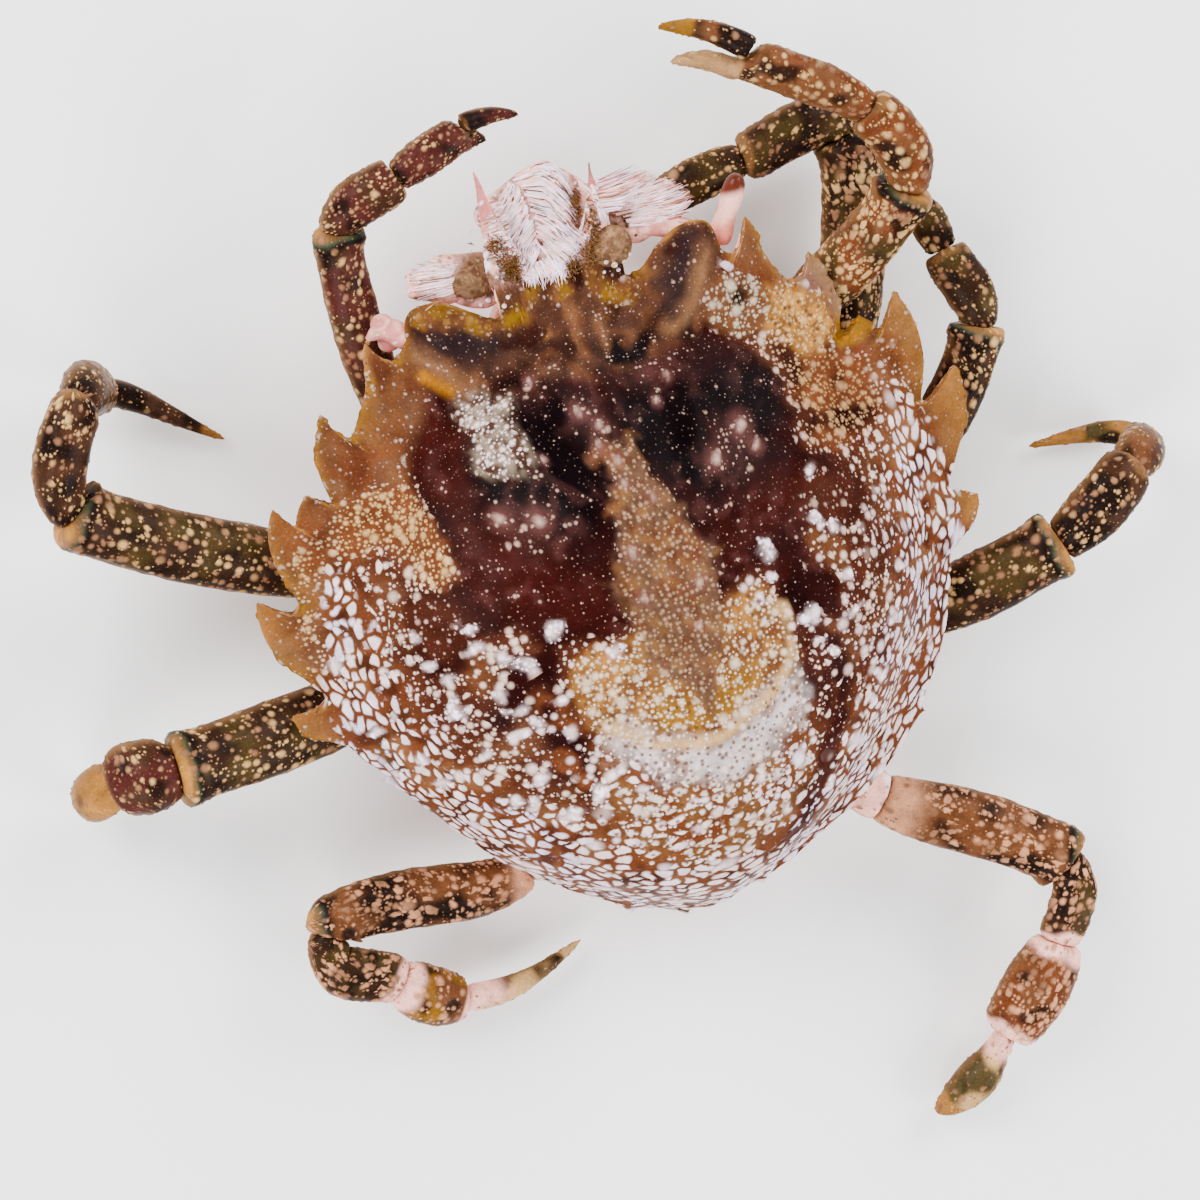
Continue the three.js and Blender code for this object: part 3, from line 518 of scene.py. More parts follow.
def near_line(flat, corners, width, edge):
    """1 along a line of this half width and 0 away from it."""
    return 1 - soft(line_distance(flat, corners, False), width - edge, width + edge)


def near_point(flat, centre, radius, edge):
    """1 on a round spot and 0 away from it."""
    return 1 - soft(np.hypot(*(flat - np.array(centre)).T), radius - edge, radius + edge)


print("half of the rise from 0 to 1:", float(soft(0.5, 0, 1)))

# %% [markdown]
# ## A coat of paint
# A coat holds what is painted on one skin: two colours, six kinds of marks and the places that the patterns
# are read at. It keeps one value for each vertex and is stored in the mesh once, when all of it is painted.
# %% What is painted on a skin
MARK_KINDS = ("specks", "grains", "beads", "pearls", "cells", "pits")


class Coat:
    """The colours and marks of a skin, one value for each of its vertices."""

    def __init__(self, obj, ground, tint):
        self.obj = obj
        self.points = points_of(obj.data) / MM
        normals = np.empty(len(self.points) * 3, np.float32)
        obj.data.vertices.foreach_get("normal", normals)
        self.normals = normals.reshape(-1, 3).astype(float)
        self.ground = np.tile(np.array(ground, float), (len(self.points), 1))
        self.tint = np.tile(np.array(tint, float), (len(self.points), 1))
        self.marks = {kind: np.zeros(len(self.points)) for kind in MARK_KINDS}
        self.place = self.points.copy()
        self.flow = self.points.copy()

    def wash(self, mask, colour):
        """Paints the ground where the mask is."""
        self.ground += (np.array(colour) - self.ground) * mask[:, None]

    def tinge(self, mask, colour):
        """Paints the beads where the mask is."""
        self.tint += (np.array(colour) - self.tint) * mask[:, None]

    def mark(self, mask, **amounts):
        """Sets how many marks of each kind there are where the mask is."""
        for kind, amount in amounts.items():
            self.marks[kind] += (amount - self.marks[kind]) * mask

    def haze(self, size, shift, low, high):
        """Soft clouds over the skin, from 0 to 1."""
        return soft(clouds_at(self.points, size, shift), low, high)

    def cloud(self, mask, colour, strength, *clouds):
        """Paints clouds of a colour on the ground where the mask is."""
        self.wash(mask * self.haze(*clouds) * strength, colour)

    def push(self, heights_mm):
        """Moves the skin outwards by this much."""
        self.points += self.normals * np.asarray(heights_mm)[:, None]

    def store(self):
        """Writes the places, the colours and the marks into the mesh."""
        mesh = self.obj.data
        put_points(mesh, self.points * MM)
        for name, values in (("place", self.place), ("flow", self.flow)):
            layer = mesh.attributes.new(name, "FLOAT_VECTOR", "POINT")
            layer.data.foreach_set("vector", values.astype(np.float32).ravel())
        for name, values in (("ground", self.ground), ("tint", self.tint)):
            layer = mesh.attributes.new(name, "FLOAT_COLOR", "POINT")
            four = np.c_[np.clip(values, 0, 1), np.ones(len(values))]
            layer.data.foreach_set("color", four.astype(np.float32).ravel())
        for name, values in self.marks.items():
            layer = mesh.attributes.new(name, "FLOAT", "POINT")
            layer.data.foreach_set("value", np.clip(values, 0, 1).astype(np.float32))

    def finish(self, material):
        """Stores the coat and gives the skin its finish."""
        self.store()
        self.obj.data.materials.clear()
        self.obj.data.materials.append(material)


print("kinds of marks:", *MARK_KINDS)

# %% [markdown]
# ## The skins
# Every plate is a faceted solid. A smooth skin takes its place: a copy whose loose triangles are joined and
# paired into quads, and subdivided. Subdivision shrinks a mesh, so the corners of the copy are first moved
# out by as much as they would sink, and the skin goes through the plate's own corners.
# %% Making the skins
SKIN_LEVELS = 3
skins = {}
for node_name in sorted(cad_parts):
    skin = plain_copy(node_name, node_name + "_skin")
    round_off(skin, SKIN_LEVELS)
    skins[node_name] = skin
    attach(skin, "root")
    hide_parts(node_name)
print("skins:", len(skins), "vertices:", sum(len(skin.data.vertices) for skin in skins.values()))

# %% [markdown]
# ## A lighter underside
# The shell's skin has more triangles than one piece should have. Its underside is hidden and nearly smooth,
# so its vertices that face down are marked in a group, and a modifier that joins small faces works only on
# that group.
# %% Thinning the hidden side of the shell
KEPT_SHARE = 0.9
FACES_DOWN = -0.3
shell = skins["carapace"]
facing_down = np.flatnonzero([vertex.normal.z < FACES_DOWN for vertex in shell.data.vertices])
group = shell.vertex_groups.new(name="underside")
group.add(facing_down.tolist(), 1.0, "REPLACE")
select_only(shell)
thinner = shell.modifiers.new("thinner", "DECIMATE")
thinner.ratio = KEPT_SHARE
thinner.vertex_group = "underside"
bpy.ops.object.modifier_apply(modifier="thinner")
shell.vertex_groups.clear()
print("vertices that face down:", len(facing_down), "of the shell's", len(shell.data.vertices))
print("triangles of the shell:", sum(len(face.vertices) - 2 for face in shell.data.polygons))

# %% [markdown]
# ## The shell's zones
# From above, a dark saddle fills the middle of the shell. A beige stripe runs back from the snout and opens
# into cream patches, which an arched ridge closes. Around the saddle come bands of fine grains, and white
# cells cover the flanks. The lobes and teeth at the front and sides are plain olive brown with a golden
# rim.
# %% Outlines of the saddle and the stripe, in mm from above
SADDLE = [
    (-7.4, 9.8), (-7.3, 9.1), (-8, 7), (-7.6, 5.2), (-7.4, 4.1), (-7.4, 3.2), (-8, 2.5), (-9.1, 2.3),
    (-9.6, 1.9), (-9.7, 0.8), (-9.4, -0.2), (-8.2, -0.6), (-7.6, 0.4), (-6.3, 0.7), (-5.7, -0.1),
    (-6.8, -1.2), (-6.6, -2.1), (-5.9, -2.6), (-5.1, -1.5), (-4.7, -0.5), (-3.3, -0.6), (-2.3, -0.5),
    (-1, -1.6), (1.8, -0.6), (3.6, 0.3), (4.1, -0.4), (4, -1.4), (4.5, -2.2), (6.1, -2.5), (6.5, -1.3),
    (5.6, -0.3), (5.7, 0.8), (7.9, 0.2), (8.5, 0.2), (8.7, 1.5), (7.9, 2.9), (7.1, 3.4), (7.2, 5),
    (6.9, 6.5), (6.6, 7.5), (5.8, 8.6), (6.4, 10.4), (6, 12.6), (3, 12.6), (-0.2, 12.6), (-2, 12.2),
    (-3.5, 12.4), (-6.4, 13), (-6.8, 11.2)]
NIGHT_MIDDLE = [
    (-4.7, 8.1), (-3.7, 8.6), (-1.5, 8.2), (-0.2, 7.6), (2.3, 7.4), (4.8, 7.6), (6.6, 7), (6.8, 5.4),
    (5.9, 4.1), (4.4, 3.6), (2.6, 3.2), (1.2, 4), (0.2, 5.4), (-0.9, 5.4), (-1.6, 4.3), (-2, 3.3),
    (-3.5, 3.3), (-4.6, 4), (-5.6, 4.8), (-5.7, 6.4)]
STRIPE = [
    (-1, 6.4), (-1.3, 5.2), (-1.5, 4.3), (-1.5, 3.3), (-1.8, 2.1), (-2.4, 1.3), (-2.3, 0.2), (-2.2, -0.6),
    (-1.9, -2.6), (-0.7, -4), (-0.1, -4.6), (0.6, -3.8), (1.2, -2.4), (1.8, -0.6), (1.9, 0.4), (2, 1.2),
    (1.5, 2), (0.9, 2.9), (0.6, 4.6), (0.3, 6)]
print("corners of the saddle's outline:", len(SADDLE))

# %% Outlines of the lobes and teeth
LEFT_LOBE = [
    (-6.6, 12.6), (-6.3, 9.9), (-6.7, 9), (-7.7, 7.9), (-8.2, 6.7), (-10.2, 6.6), (-12.5, 6.3), (-13, 11),
    (-9, 14)]
LEFT_TOOTH_2 = [
    (-10.6, 6.4), (-11, 5.6), (-11.6, 4.6), (-12.3, 3.5), (-13.5, 3), (-16, 6), (-14, 8), (-11.5, 7.2)]
LEFT_TOOTH_3 = [(-13.6, 3.2), (-12.3, 3.1), (-12.6, 1.2), (-13, -0.2), (-15, -0.5), (-18, 3), (-16, 5)]
LEFT_TOOTH_4 = [(-13.2, -1.2), (-12.8, -2.3), (-13.6, -3.2), (-16, -3.5), (-17, -1), (-14.5, -0.8)]
RIGHT_LOBE = [(6.6, 13), (6.6, 11), (6.9, 10.2), (7.5, 9.4), (8.5, 9.3), (9, 10.5), (8.2, 14)]
RIGHT_TOOTH_1 = [(8.6, 9.4), (9.4, 8.9), (10, 8), (10.2, 7.2), (10.6, 6.6), (12, 8), (11, 12), (9, 12)]
RIGHT_KNOB_1 = [(9.9, 6.9), (10.1, 6.3), (11, 6), (11.8, 6.6), (11.4, 7.6), (10.4, 7.5)]
RIGHT_TOOTH_2 = [
    (11.5, 6.7), (11.3, 5.8), (11.9, 4.6), (12.4, 3.9), (12.7, 3.4), (15, 4.4), (14.6, 10), (12, 9)]
RIGHT_TOOTH_3 = [(12.9, 3.2), (12.8, 2.4), (13.2, 1.5), (13.4, 0.5), (16, 0.5), (18, 5), (14, 5)]
RIGHT_TOOTH_4 = [(13.5, -1), (13.4, -2.1), (16, -2.4), (16, -0.6)]
TAN_CRUST = [
    (7.1, 9.5), (8.1, 9.1), (9.2, 9.2), (9.9, 8.2), (10.1, 7.1), (9.3, 6.4), (8.5, 6.7), (7.5, 7.4),
    (7, 8.2)]
print("corners of the two lobes:", len(LEFT_LOBE) + len(RIGHT_LOBE))

# %% Outlines of the patches, the back and the bands
LEFT_PATCH = [
    (-3.3, -0.9), (-4.5, -1.3), (-4.8, -2.2), (-4.6, -3.3), (-3.9, -4.3), (-2.5, -5.1), (-1, -5.3),
    (-0.1, -4.7), (-0.6, -3.6), (-1.6, -2.4), (-2, -0.9)]
RIGHT_PATCH = [
    (1.6, -0.8), (3.3, -0.6), (4.2, -1.9), (3.8, -3.3), (2.6, -4.5), (1.5, -5), (0.3, -5.3), (-0.1, -4.7),
    (0.5, -3.8), (1, -2.4)]
LEFT_GOLD = [(-2.4, -3.6), (-1, -3.7), (-0.2, -4.6), (-0.5, -5.2), (-1.8, -4.8)]
RIGHT_GOLD = [(0.2, -4.2), (1, -3.3), (2.1, -3.2), (1.8, -4.5), (0.4, -5.1)]
ARCH = [
    (4, -1.6), (4.1, -2.6), (3.8, -3.5), (2.8, -4.5), (1.5, -5.1), (0.2, -5.5), (-1, -5.5), (-2.6, -5),
    (-3.9, -3.9)]
DOTTED = [
    (-3.5, -4.2), (-2.7, -4.7), (-0.4, -5.8), (1.3, -5.1), (2.9, -4.3), (3.7, -4.3), (4.2, -5.1),
    (3.2, -6.3), (1.3, -6.9), (0.1, -7.5), (-1.7, -6.7), (-3.4, -5.6), (-3.7, -4.8)]
BACK = [
    (-3.9, -4.5), (-0.7, -5.8), (2.1, -5.2), (3.5, -5), (3.8, -7), (2.2, -10.2), (-1.3, -11), (-4, -8.6),
    (-4.6, -6.2)]
BACK_STREAK = [(4.5, -2.6), (4.9, -4.2), (4.9, -5.8), (4.9, -7), (4.3, -8.4), (3.7, -9.8), (2.9, -11)]
LEFT_GAP = [(-6, -1.8), (-5.4, -2.4), (-4.7, -3.8), (-4.4, -5.6), (-5, -6.7), (-6, -6), (-6.5, -4.2)]
RIGHT_GAP = [(4.4, -2.3), (5.8, -2.9), (6.3, -4.8), (5.9, -6.3), (5, -8.2), (4.2, -7.3), (4, -4.2)]
LEFT_GRAINS = [
    (-10.3, 6.6), (-8.2, 6.9), (-7.4, 5.8), (-7.2, 4.2), (-7.4, 3.1), (-8, 2.3), (-8.7, 2.9), (-9.3, 4.3),
    (-10.7, 4.3), (-11.7, 4.4), (-11.3, 5.6)]
RIGHT_GRAINS = [
    (7, 7.6), (8.4, 6.8), (10, 6.5), (11.2, 5.6), (11.2, 3.6), (9.8, 3), (8.3, 3), (7.4, 3.4), (7.3, 5.6)]
RED_LEFT = [
    (-7.4, 9.4), (-6.2, 9.2), (-5.6, 6.8), (-6, 4.6), (-4.6, 2.8), (-2.6, 1.4), (-2.6, -0.4), (-4.6, 0.2),
    (-6.6, 1), (-7.4, 2.4), (-7.3, 4.6), (-7.9, 6.8)]
RED_RIGHT = [(2.3, 2.8), (4.4, 3), (6.2, 3.2), (6.8, 2.2), (5.6, 0.9), (4, 0.9), (2.4, 0.6), (2.2, 1.6)]
print("corners of the back's outline:", len(BACK))

# %% Outlines and lines of the front
FRONT = [(-6.2, 13), (-5.9, 10.6), (-4.8, 9.4), (-3.6, 8.7), (-1.3, 8.8), (1.8, 8.3), (4.5, 8.6), (5.7, 9.6),
         (6.4, 11.4), (6, 13.5)]
LEFT_SWELLING = [
    (-6.4, 11.9), (-5.9, 10.8), (-4.5, 10.2), (-3.1, 10), (-2.5, 10.9), (-2.9, 11.5), (-4.2, 11.9),
    (-5.3, 12.2)]
RIGHT_SWELLING = [(3.4, 10.9), (3.6, 9.8), (4.6, 9.4), (5.6, 10.2), (6.2, 11.6), (5.2, 12.4)]
LEFT_RIDGE = [(-6.3, 11.2), (-5.9, 10.6), (-5.3, 9.9), (-4.8, 9.1)]
RIGHT_RIDGE = [(5.7, 11.5), (5.3, 10.6), (4.5, 9.8), (3.6, 9.2)]
LEFT_RIM = [
    (-5.9, 12.5), (-5, 12.3), (-4, 11.9), (-3.1, 11.3), (-2.6, 11), (-2, 11.2), (-1.7, 11.8), (-1.4, 12.3)]
MIDDLE_RIM = [(-1.3, 12.6), (-0.6, 12.9), (-0.2, 12.6), (-0.3, 11.9)]
RIGHT_RIM = [(1, 12.5), (1, 11.9), (1.5, 11.3), (2.3, 11.1), (2.9, 11.3), (3, 11.9)]
STREAKS = [[(-0.4, 12.2), (-0.3, 11.5), (-0.3, 10.5), (-0.1, 9.5)], [(0.7, 10.3), (0.7, 9.4)]]
GREY_TOOTH_STREAK = [(9.6, 9.3), (9.9, 8.6), (10.1, 7.9)]
ORANGE_SPOT = [(-6.2, 10.2), (-5.8, 9.8), (-5.4, 9.4)]
print("corners of the front's outline:", len(FRONT))

# %% [markdown]
# ## Crusts, knobs and big beads
# Small growths sit on a wild crab's shell: white crusts of lime, blunt knobs and single big beads. Each is
# round, so a place and a radius are enough, and a height for those that stand up. Kept as lists, they are
# easy to move.
# %% Round features of the shell: place, radius and height, in mm
WHITE_CRUSTS = [((-4.7, 8.3), 0.85, 0.16), ((-3.6, 8.2), 0.36, 0.12), ((-4.4, 6.8), 0.98, 0.16)]
GREY_CRUST = ((6.3, 9.2), 1.2, 0.2)
GREY_CRUST_PIT = (6.4, 9.4)
WHITE_KNOBS = [
    ((-4.8, 0.2), 0.42, 0.14), ((4.1, 0.5), 0.36, 0.12), ((3.9, -0.4), 0.26, 0.1), ((-6.3, -0.7), 0.4, 0.1),
    ((3.2, -1.3), 0.28, 0.1), ((4.9, -2.2), 0.34, 0.12), ((6.3, 1), 0.32, 0.12), ((7, 2.5), 0.3, 0.1),
    ((-6.4, -3), 0.3, 0.12), ((-5.4, -3.7), 0.28, 0.12), ((-7.9, 1), 0.28, 0.1), ((-8.9, -1.9), 0.34, 0.12),
    ((6.9, 0.6), 0.24, 0.1), ((-4.6, -6.3), 0.42, 0.14), ((-7.3, -2.2), 0.26, 0.1),
    ((5.6, -4.1), 0.24, 0.1), ((-2.9, -1.2), 0.4, 0.1)]
BIG_BEADS = [
    ((6.1, -8.1), 0.46), ((4.7, -9.3), 0.44), ((8.5, -3.8), 0.5), ((7.7, -5.8), 0.46), ((5, -2.3), 0.38),
    ((6.9, -1.3), 0.34), ((3.3, -7.5), 0.42), ((5, -3.4), 0.3), ((6.8, -2.8), 0.3), ((6.9, -6.7), 0.34),
    ((-10.6, 1.7), 0.34), ((-9.7, 1.1), 0.32), ((-9.5, -0.1), 0.34), ((-9, -0.9), 0.44),
    ((-7.3, -1.5), 0.44), ((-6.7, -2.3), 0.4), ((-7.8, 0.1), 0.36), ((-6.9, -0.4), 0.34),
    ((-7, -3.5), 0.38), ((-6.5, -5.3), 0.46), ((-7.1, -6.3), 0.42), ((-5.3, -3.7), 0.42),
    ((-8.4, -3.9), 0.42), ((-10.3, -3.7), 0.4), ((-7.8, -6), 0.4), ((-5.7, -7.2), 0.44),
    ((-9.8, -4.8), 0.36), ((-11.5, -2.4), 0.36), ((-11.1, -4.4), 0.34), ((-4.9, -5.6), 0.26),
    ((-4, -5.7), 0.38), ((-4.7, -6.7), 0.36), ((-5.4, -2.4), 0.36)]
PINK_KNOBS = [
    ((-5.3, 4.5), 0.22, 0.16), ((-4, 4.1), 0.24, 0.18), ((4.8, 5.1), 0.26, 0.18), ((3.2, 4.3), 0.24, 0.18),
    ((5.1, 4.2), 0.16, 0.12), ((-1.1, 7.4), 0.16, 0.1), ((-0.6, 6.8), 0.15, 0.1), ((-0.9, 6.1), 0.14, 0.1),
    ((-0.5, 5.4), 0.14, 0.1), ((-0.6, 4.6), 0.15, 0.1), ((0.2, 3.9), 0.15, 0.1), ((-2.4, 8.9), 0.14, 0.1),
    ((-1.2, 2.2), 0.16, 0.08), ((0.9, 0.4), 0.18, 0.08), ((-1.3, 0.4), 0.17, 0.08),
    ((0.4, -1.2), 0.15, 0.08), ((1.9, 6.9), 0.12, 0.08), ((2.7, 7.6), 0.12, 0.08), ((-3.1, 6.2), 0.1, 0.06)]
print("knobs:", len(WHITE_KNOBS) + len(PINK_KNOBS), "big beads:", len(BIG_BEADS))

# %% [markdown]
# ## Where the beads lie
# The bead patterns need coordinates that follow the shell. Seen from above, its steep flanks would be
# squeezed, so the distance from the shell's top is lengthened by the drop in height. The crowded cells of
# the flanks lie in rings around the top, so their pattern runs along that distance and around the turn.
# %% Places on the shell
coat = Coat(shell, RUST, WHITE)
drift = np.c_[0.36 * clouds_at(coat.points, 1.3) + 0.2 * clouds_at(coat.points, 0.42, 5),
              0.36 * clouds_at(coat.points, 1.3, 9) + 0.2 * clouds_at(coat.points, 0.42, 14)]
flat = coat.points[:, :2] + drift
still = coat.points[:, :2]
height = coat.points[:, 2]
facing_up = coat.normals[:, 2]

SHELL_TOP = np.array([-0.3, 1.5])
TOP_HEIGHT = 11.7
DROP_SHARE = 1.15
away = still - SHELL_TOP
reach = np.hypot(*away.T)
slant = np.hypot(reach, DROP_SHARE * (TOP_HEIGHT - height) * soft(reach, 3, 10))
coat.place[:, :2] = away * (slant / np.maximum(reach, 0.05))[:, None]
coat.place[:, 2] = 0
turn = np.arctan2(away[:, 0], -away[:, 1])
CELL_WIDTH = 0.42
CELL_LENGTH = 0.58
RING_RADIUS = 11.0
coat.flow = np.c_[slant / CELL_WIDTH, turn * RING_RADIUS / CELL_LENGTH, np.zeros(len(turn))]
print("over the shell from its top to its rim, in mm:", round(float(slant.max()), 1))

# %% [markdown]
# ## Masks for the zones
# A mask is 1 inside a zone and 0 outside. Each is worked out once, and then used for colour, beads and
# relief. The wide zones are shifted by all of the drift, so their borders wander. The teeth are shifted by
# half of it.
# %% Masks
def tell_share(name, mask):
    """Prints how much of the skin a mask covers."""
    print("share of the skin in the", name + ":", round(float(mask.mean()), 3))


saddle = inside(flat, SADDLE, 0.32)
stripe = inside(flat + 0.9 * drift, STRIPE, 0.3)
front = inside(flat, FRONT, 0.35)
teeth = (LEFT_LOBE, LEFT_TOOTH_2, LEFT_TOOTH_3, LEFT_TOOTH_4, RIGHT_LOBE, RIGHT_TOOTH_1, RIGHT_TOOTH_2,
         RIGHT_TOOTH_3, RIGHT_TOOTH_4)
lobes = [inside(still + 0.5 * drift, outline, 0.5) for outline in teeth]
lobe = np.clip(sum(lobes), 0, 1)
left_grains = inside(flat, LEFT_GRAINS, 0.5)
right_grains = inside(flat, RIGHT_GRAINS, 0.7)
grains = np.maximum(left_grains, right_grains)
below = 1 - soft(facing_up, -0.35, 0.0)
tell_share("saddle", saddle)
tell_share("lobes", lobe)

# %% [markdown]
# ## One zone at a time
# Most zones are painted in the same way: a ground colour, the tint of the beads on it, how many marks there
# are, and then clouds of other colours over the ground. A function takes up these steps, so that each zone
# reads like a recipe. A cloud is given by its colour, its strength, its size in mm, its place in the noise
# and its two limits.
# %% Painting one zone
def zone(mask, ground=None, tint=None, clouds=(), **amounts):
    """Paints a zone: its ground, its beads, clouds of other colours on its ground, and its marks."""
    if ground:
        coat.wash(mask, ground)
    if tint:
        coat.tinge(mask, tint)
    for colour, strength, *haze in clouds:
        coat.cloud(mask, colour, strength, *haze)
    coat.mark(mask, **amounts)


# %% [markdown]
# ## Flanks and bands of grains
# The flanks are rust brown under white cells with a lavender bloom. Toward the middle the cells break up
# into round beads on darker ground, and a band of cream grains lies on either side of the saddle. Painting
# starts with the widest zone and ends with the smallest, as with a brush, so every zone may cover the one
# before.
# %% Painting the flanks
zone(1, clouds=[(STREAK_BROWN, 0.7, 1.5, 33, -0.05, 0.4), (MAROON, 0.6, 0.8, 34, 0.05, 0.4)],
     cells=0.85, beads=0.15, specks=0.2)
coat.tinge(coat.haze(2.2, 2, -0.2, 0.4), LAVENDER)
zone(coat.haze(1.4, 6, 0.0, 0.4), cells=0.68, beads=0.3)
inner = 1 - soft(reach + 2.2 * drift[:, 0], 9.0, 11.5)
zone(inner, EARTH, None, [(OLIVE_BROWN, 0.7, 1.8, 8, -0.1, 0.4)],
     cells=0.2, beads=0.7, pearls=0.6, grains=0.4, specks=0.8)
coat.tinge(inner * 0.5, CREAM)
zone(grains, RUST, CREAM)
coat.wash(grains * coat.haze(1.4, 62, -0.2, 0.3) * soft(still[:, 0], 0, 2), MAROON)
coat.tinge(right_grains * 0.55, LEG_SPOT)
zone(left_grains, cells=0, beads=0.95, pearls=0.35, grains=1, specks=0.7)
zone(right_grains, cells=0, beads=0.7, pearls=0.2, grains=0.75, specks=0.8)
tell_share("bands of grains", grains)

# %% [markdown]
# ## The saddle
# The middle of the shell is maroon, with nearly black fields and red-brown ones. It has only fine specks,
# which are partly painted glints, some veiled pale spots and a faint rosy dust. The borders are soft,
# because the real colour fades over a millimetre.
# %% Round spots of the saddle: place and radius, in mm
DARK_SPOTS = [
    ((-7.4, 4.9), 0.6), ((4.9, -1.2), 0.7), ((-5.9, -1.6), 0.5), ((-0.6, 9.2), 0.5), ((3.4, 2.2), 0.5)]
MAROON_SPOTS = [((-8.7, 1.7), 0.8), ((-9.3, 0.1), 0.8), ((-6.5, -1.5), 0.9), ((-7.6, -2.6), 0.6)]
EARTH_SPOTS = [(-8.8, 1.3), (7.2, 1.4)]
VEILS = [((-4.6, 3.9), 1), ((4.1, 4.7), 1), ((-0.7, 7), 0.7), ((-2.6, 8.7), 0.6), ((2.4, 8.2), 0.9)]

# %% Painting the saddle
# The specks of the saddle are pale specks and painted glints at once.
zone(saddle, MAROON, SPECK_AND_GLINT, cells=0, beads=0, pearls=0, grains=0.02, specks=0.7)
for outline in (RED_LEFT, RED_RIGHT):
    coat.wash(inside(flat, outline, 0.6) * saddle, RED_BROWN)
coat.cloud(saddle, RED_BROWN, 0.5, 1.0, 61, 0.1, 0.5)
dust = coat.haze(0.55, 36, 0.0, 0.4) * coat.haze(2.4, 37, -0.25, 0.25)
night = inside(flat, NIGHT_MIDDLE, 0.7) * saddle
coat.wash(night, NIGHT)
for centre, radius in DARK_SPOTS:
    coat.wash(near_point(flat, centre, radius, 0.5) * saddle * 0.5, NIGHT)
coat.wash(dust * saddle * 0.16, ROSY)
zone(dust * saddle, grains=0.18, specks=0.9)
for centre, radius in MAROON_SPOTS:
    dark_spot = near_point(flat, centre, radius, 0.6)
    coat.wash(dark_spot, MAROON)
    zone(dark_spot * 0.8, cells=0, beads=0.15, pearls=0.2, grains=0.1)
for centre in EARTH_SPOTS:
    spot = near_point(flat, centre, 1.2, 0.7) * saddle
    coat.wash(spot * 0.8, EARTH)
    zone(spot, beads=0.3, grains=0.2)
for centre, radius in VEILS:
    veil = near_point(flat, centre, radius, 0.7)
    coat.wash(veil * 0.18, ROSY)
    zone(veil * 0.8, beads=0.2, grains=0.35)
tell_share("black field", night)

# %% [markdown]
# ## The front
# Behind the snout the shell swells on both sides like a pair of brows. A tan ridge lies behind each, and a
# mottled mustard rim lines each eye socket. Clouds of several browns are washed over each other, as on the
# real skin.
# %% Painting the front
zone(front, BROWN, SPECK_AND_GLINT, [(MAROON, 0.8, 1.2, 74, -0.05, 0.35), (OLIVE_BROWN, 0.5, 0.7, 75, 0.1, 0.5)],
     cells=0, beads=0, grains=0.03, specks=0.9)
coat.wash(front * dust * 0.3, STREAK_BROWN)
zone(front * dust, grains=0.4, specks=1)
brow_edge = front * (1 - soft(facing_up, 0.6, 0.93)) * soft(still[:, 1], 9.8, 10.6)
coat.wash(brow_edge * 0.8, OLIVE_BROWN)
coat.cloud(brow_edge, TIP_TAN, 0.8, 0.8, 79, -0.1, 0.3)
front_foot = front * (1 - soft(still[:, 1], 8.8, 10.4))
coat.cloud(front_foot, NIGHT, 1, 0.9, 76, -0.15, 0.25)
for outline in (LEFT_SWELLING, RIGHT_SWELLING):
    coat.wash(inside(flat + 0.5 * drift, outline, 0.55) * 0.85, GREY_BLACK)
for line in (LEFT_RIDGE, RIGHT_RIDGE):
    coat.wash(near_line(still + 0.6 * drift, line, 0.22, 0.5) * 0.7, RIDGE_TAN)
for line in STREAKS:
    coat.wash(near_line(flat, line, 0.1, 0.24) * 0.8, STREAK_BROWN)
for line in (LEFT_RIM, MIDDLE_RIM, RIGHT_RIM):
    zone(near_line(flat, line, 0.26, 0.3), OLIVE_BROWN, GOLD, [(MUSTARD, 1, 0.7, 73, -0.25, 0.25)],
         grains=0.8, beads=0.45, specks=0.9)
tell_share("front", front)

# %% [markdown]
# ## Stripe, patches and back
# A beige stripe runs back from the snout between two cream patches. An arched ridge closes them, and a
# white band with dark pits lies under it. Behind, the cells of the flanks meet, with a red-brown streak on
# the right.
# %% Painting the stripe and the patches
zone(stripe, BEIGE, STRIPE_GRAIN,
     [(RUST, 0.6, 0.9, 66, 0.0, 0.5), (EARTH, 0.5, 0.35, 38, 0.0, 0.4), (TIP_TAN, 0.2, 0.6, 39, 0.05, 0.4)],
     cells=0, beads=0.05, grains=0.85, pearls=0, specks=1)
for outline in (LEFT_PATCH, RIGHT_PATCH):
    zone(inside(flat, outline, 0.3), TAN, PATCH_CREAM,
         [(OLIVE_BROWN, 0.9, 0.8, 67, -0.2, 0.25), (RUST, 0.6, 0.4, 70, 0.0, 0.35)],
         cells=0, beads=0.7, pearls=0.3, grains=1, specks=1, pits=0.3)
for outline in (LEFT_GOLD, RIGHT_GOLD):
    coat.wash(inside(flat, outline, 0.4), GOLD)
back = inside(flat, BACK, 0.9)
zone(back, BACK_GOLD, WHITE, [(RUST, 1, 1.3, 68, -0.1, 0.35)],
     cells=0.68, beads=0.5, pearls=0.35, grains=0.4, specks=0.5, pits=0.45)
coat.tinge(back * coat.haze(1.1, 65, -0.2, 0.3) * 0.6, PATCH_CREAM)
dotted = inside(flat + 0.6 * drift, DOTTED, 0.55)
zone(dotted, DOTTED_WHITE, None, [(STREAK_BROWN, 0.75, 0.7, 72, 0.0, 0.35)],
     cells=0.2, beads=0.3, pearls=0.3, grains=0.4, specks=0.3, pits=1)
zone(near_line(still + 0.3 * drift, ARCH, 0.2, 0.16), CREAM, pits=0.45, grains=0.5)
tell_share("stripe", stripe)
tell_share("pitted band", dotted)

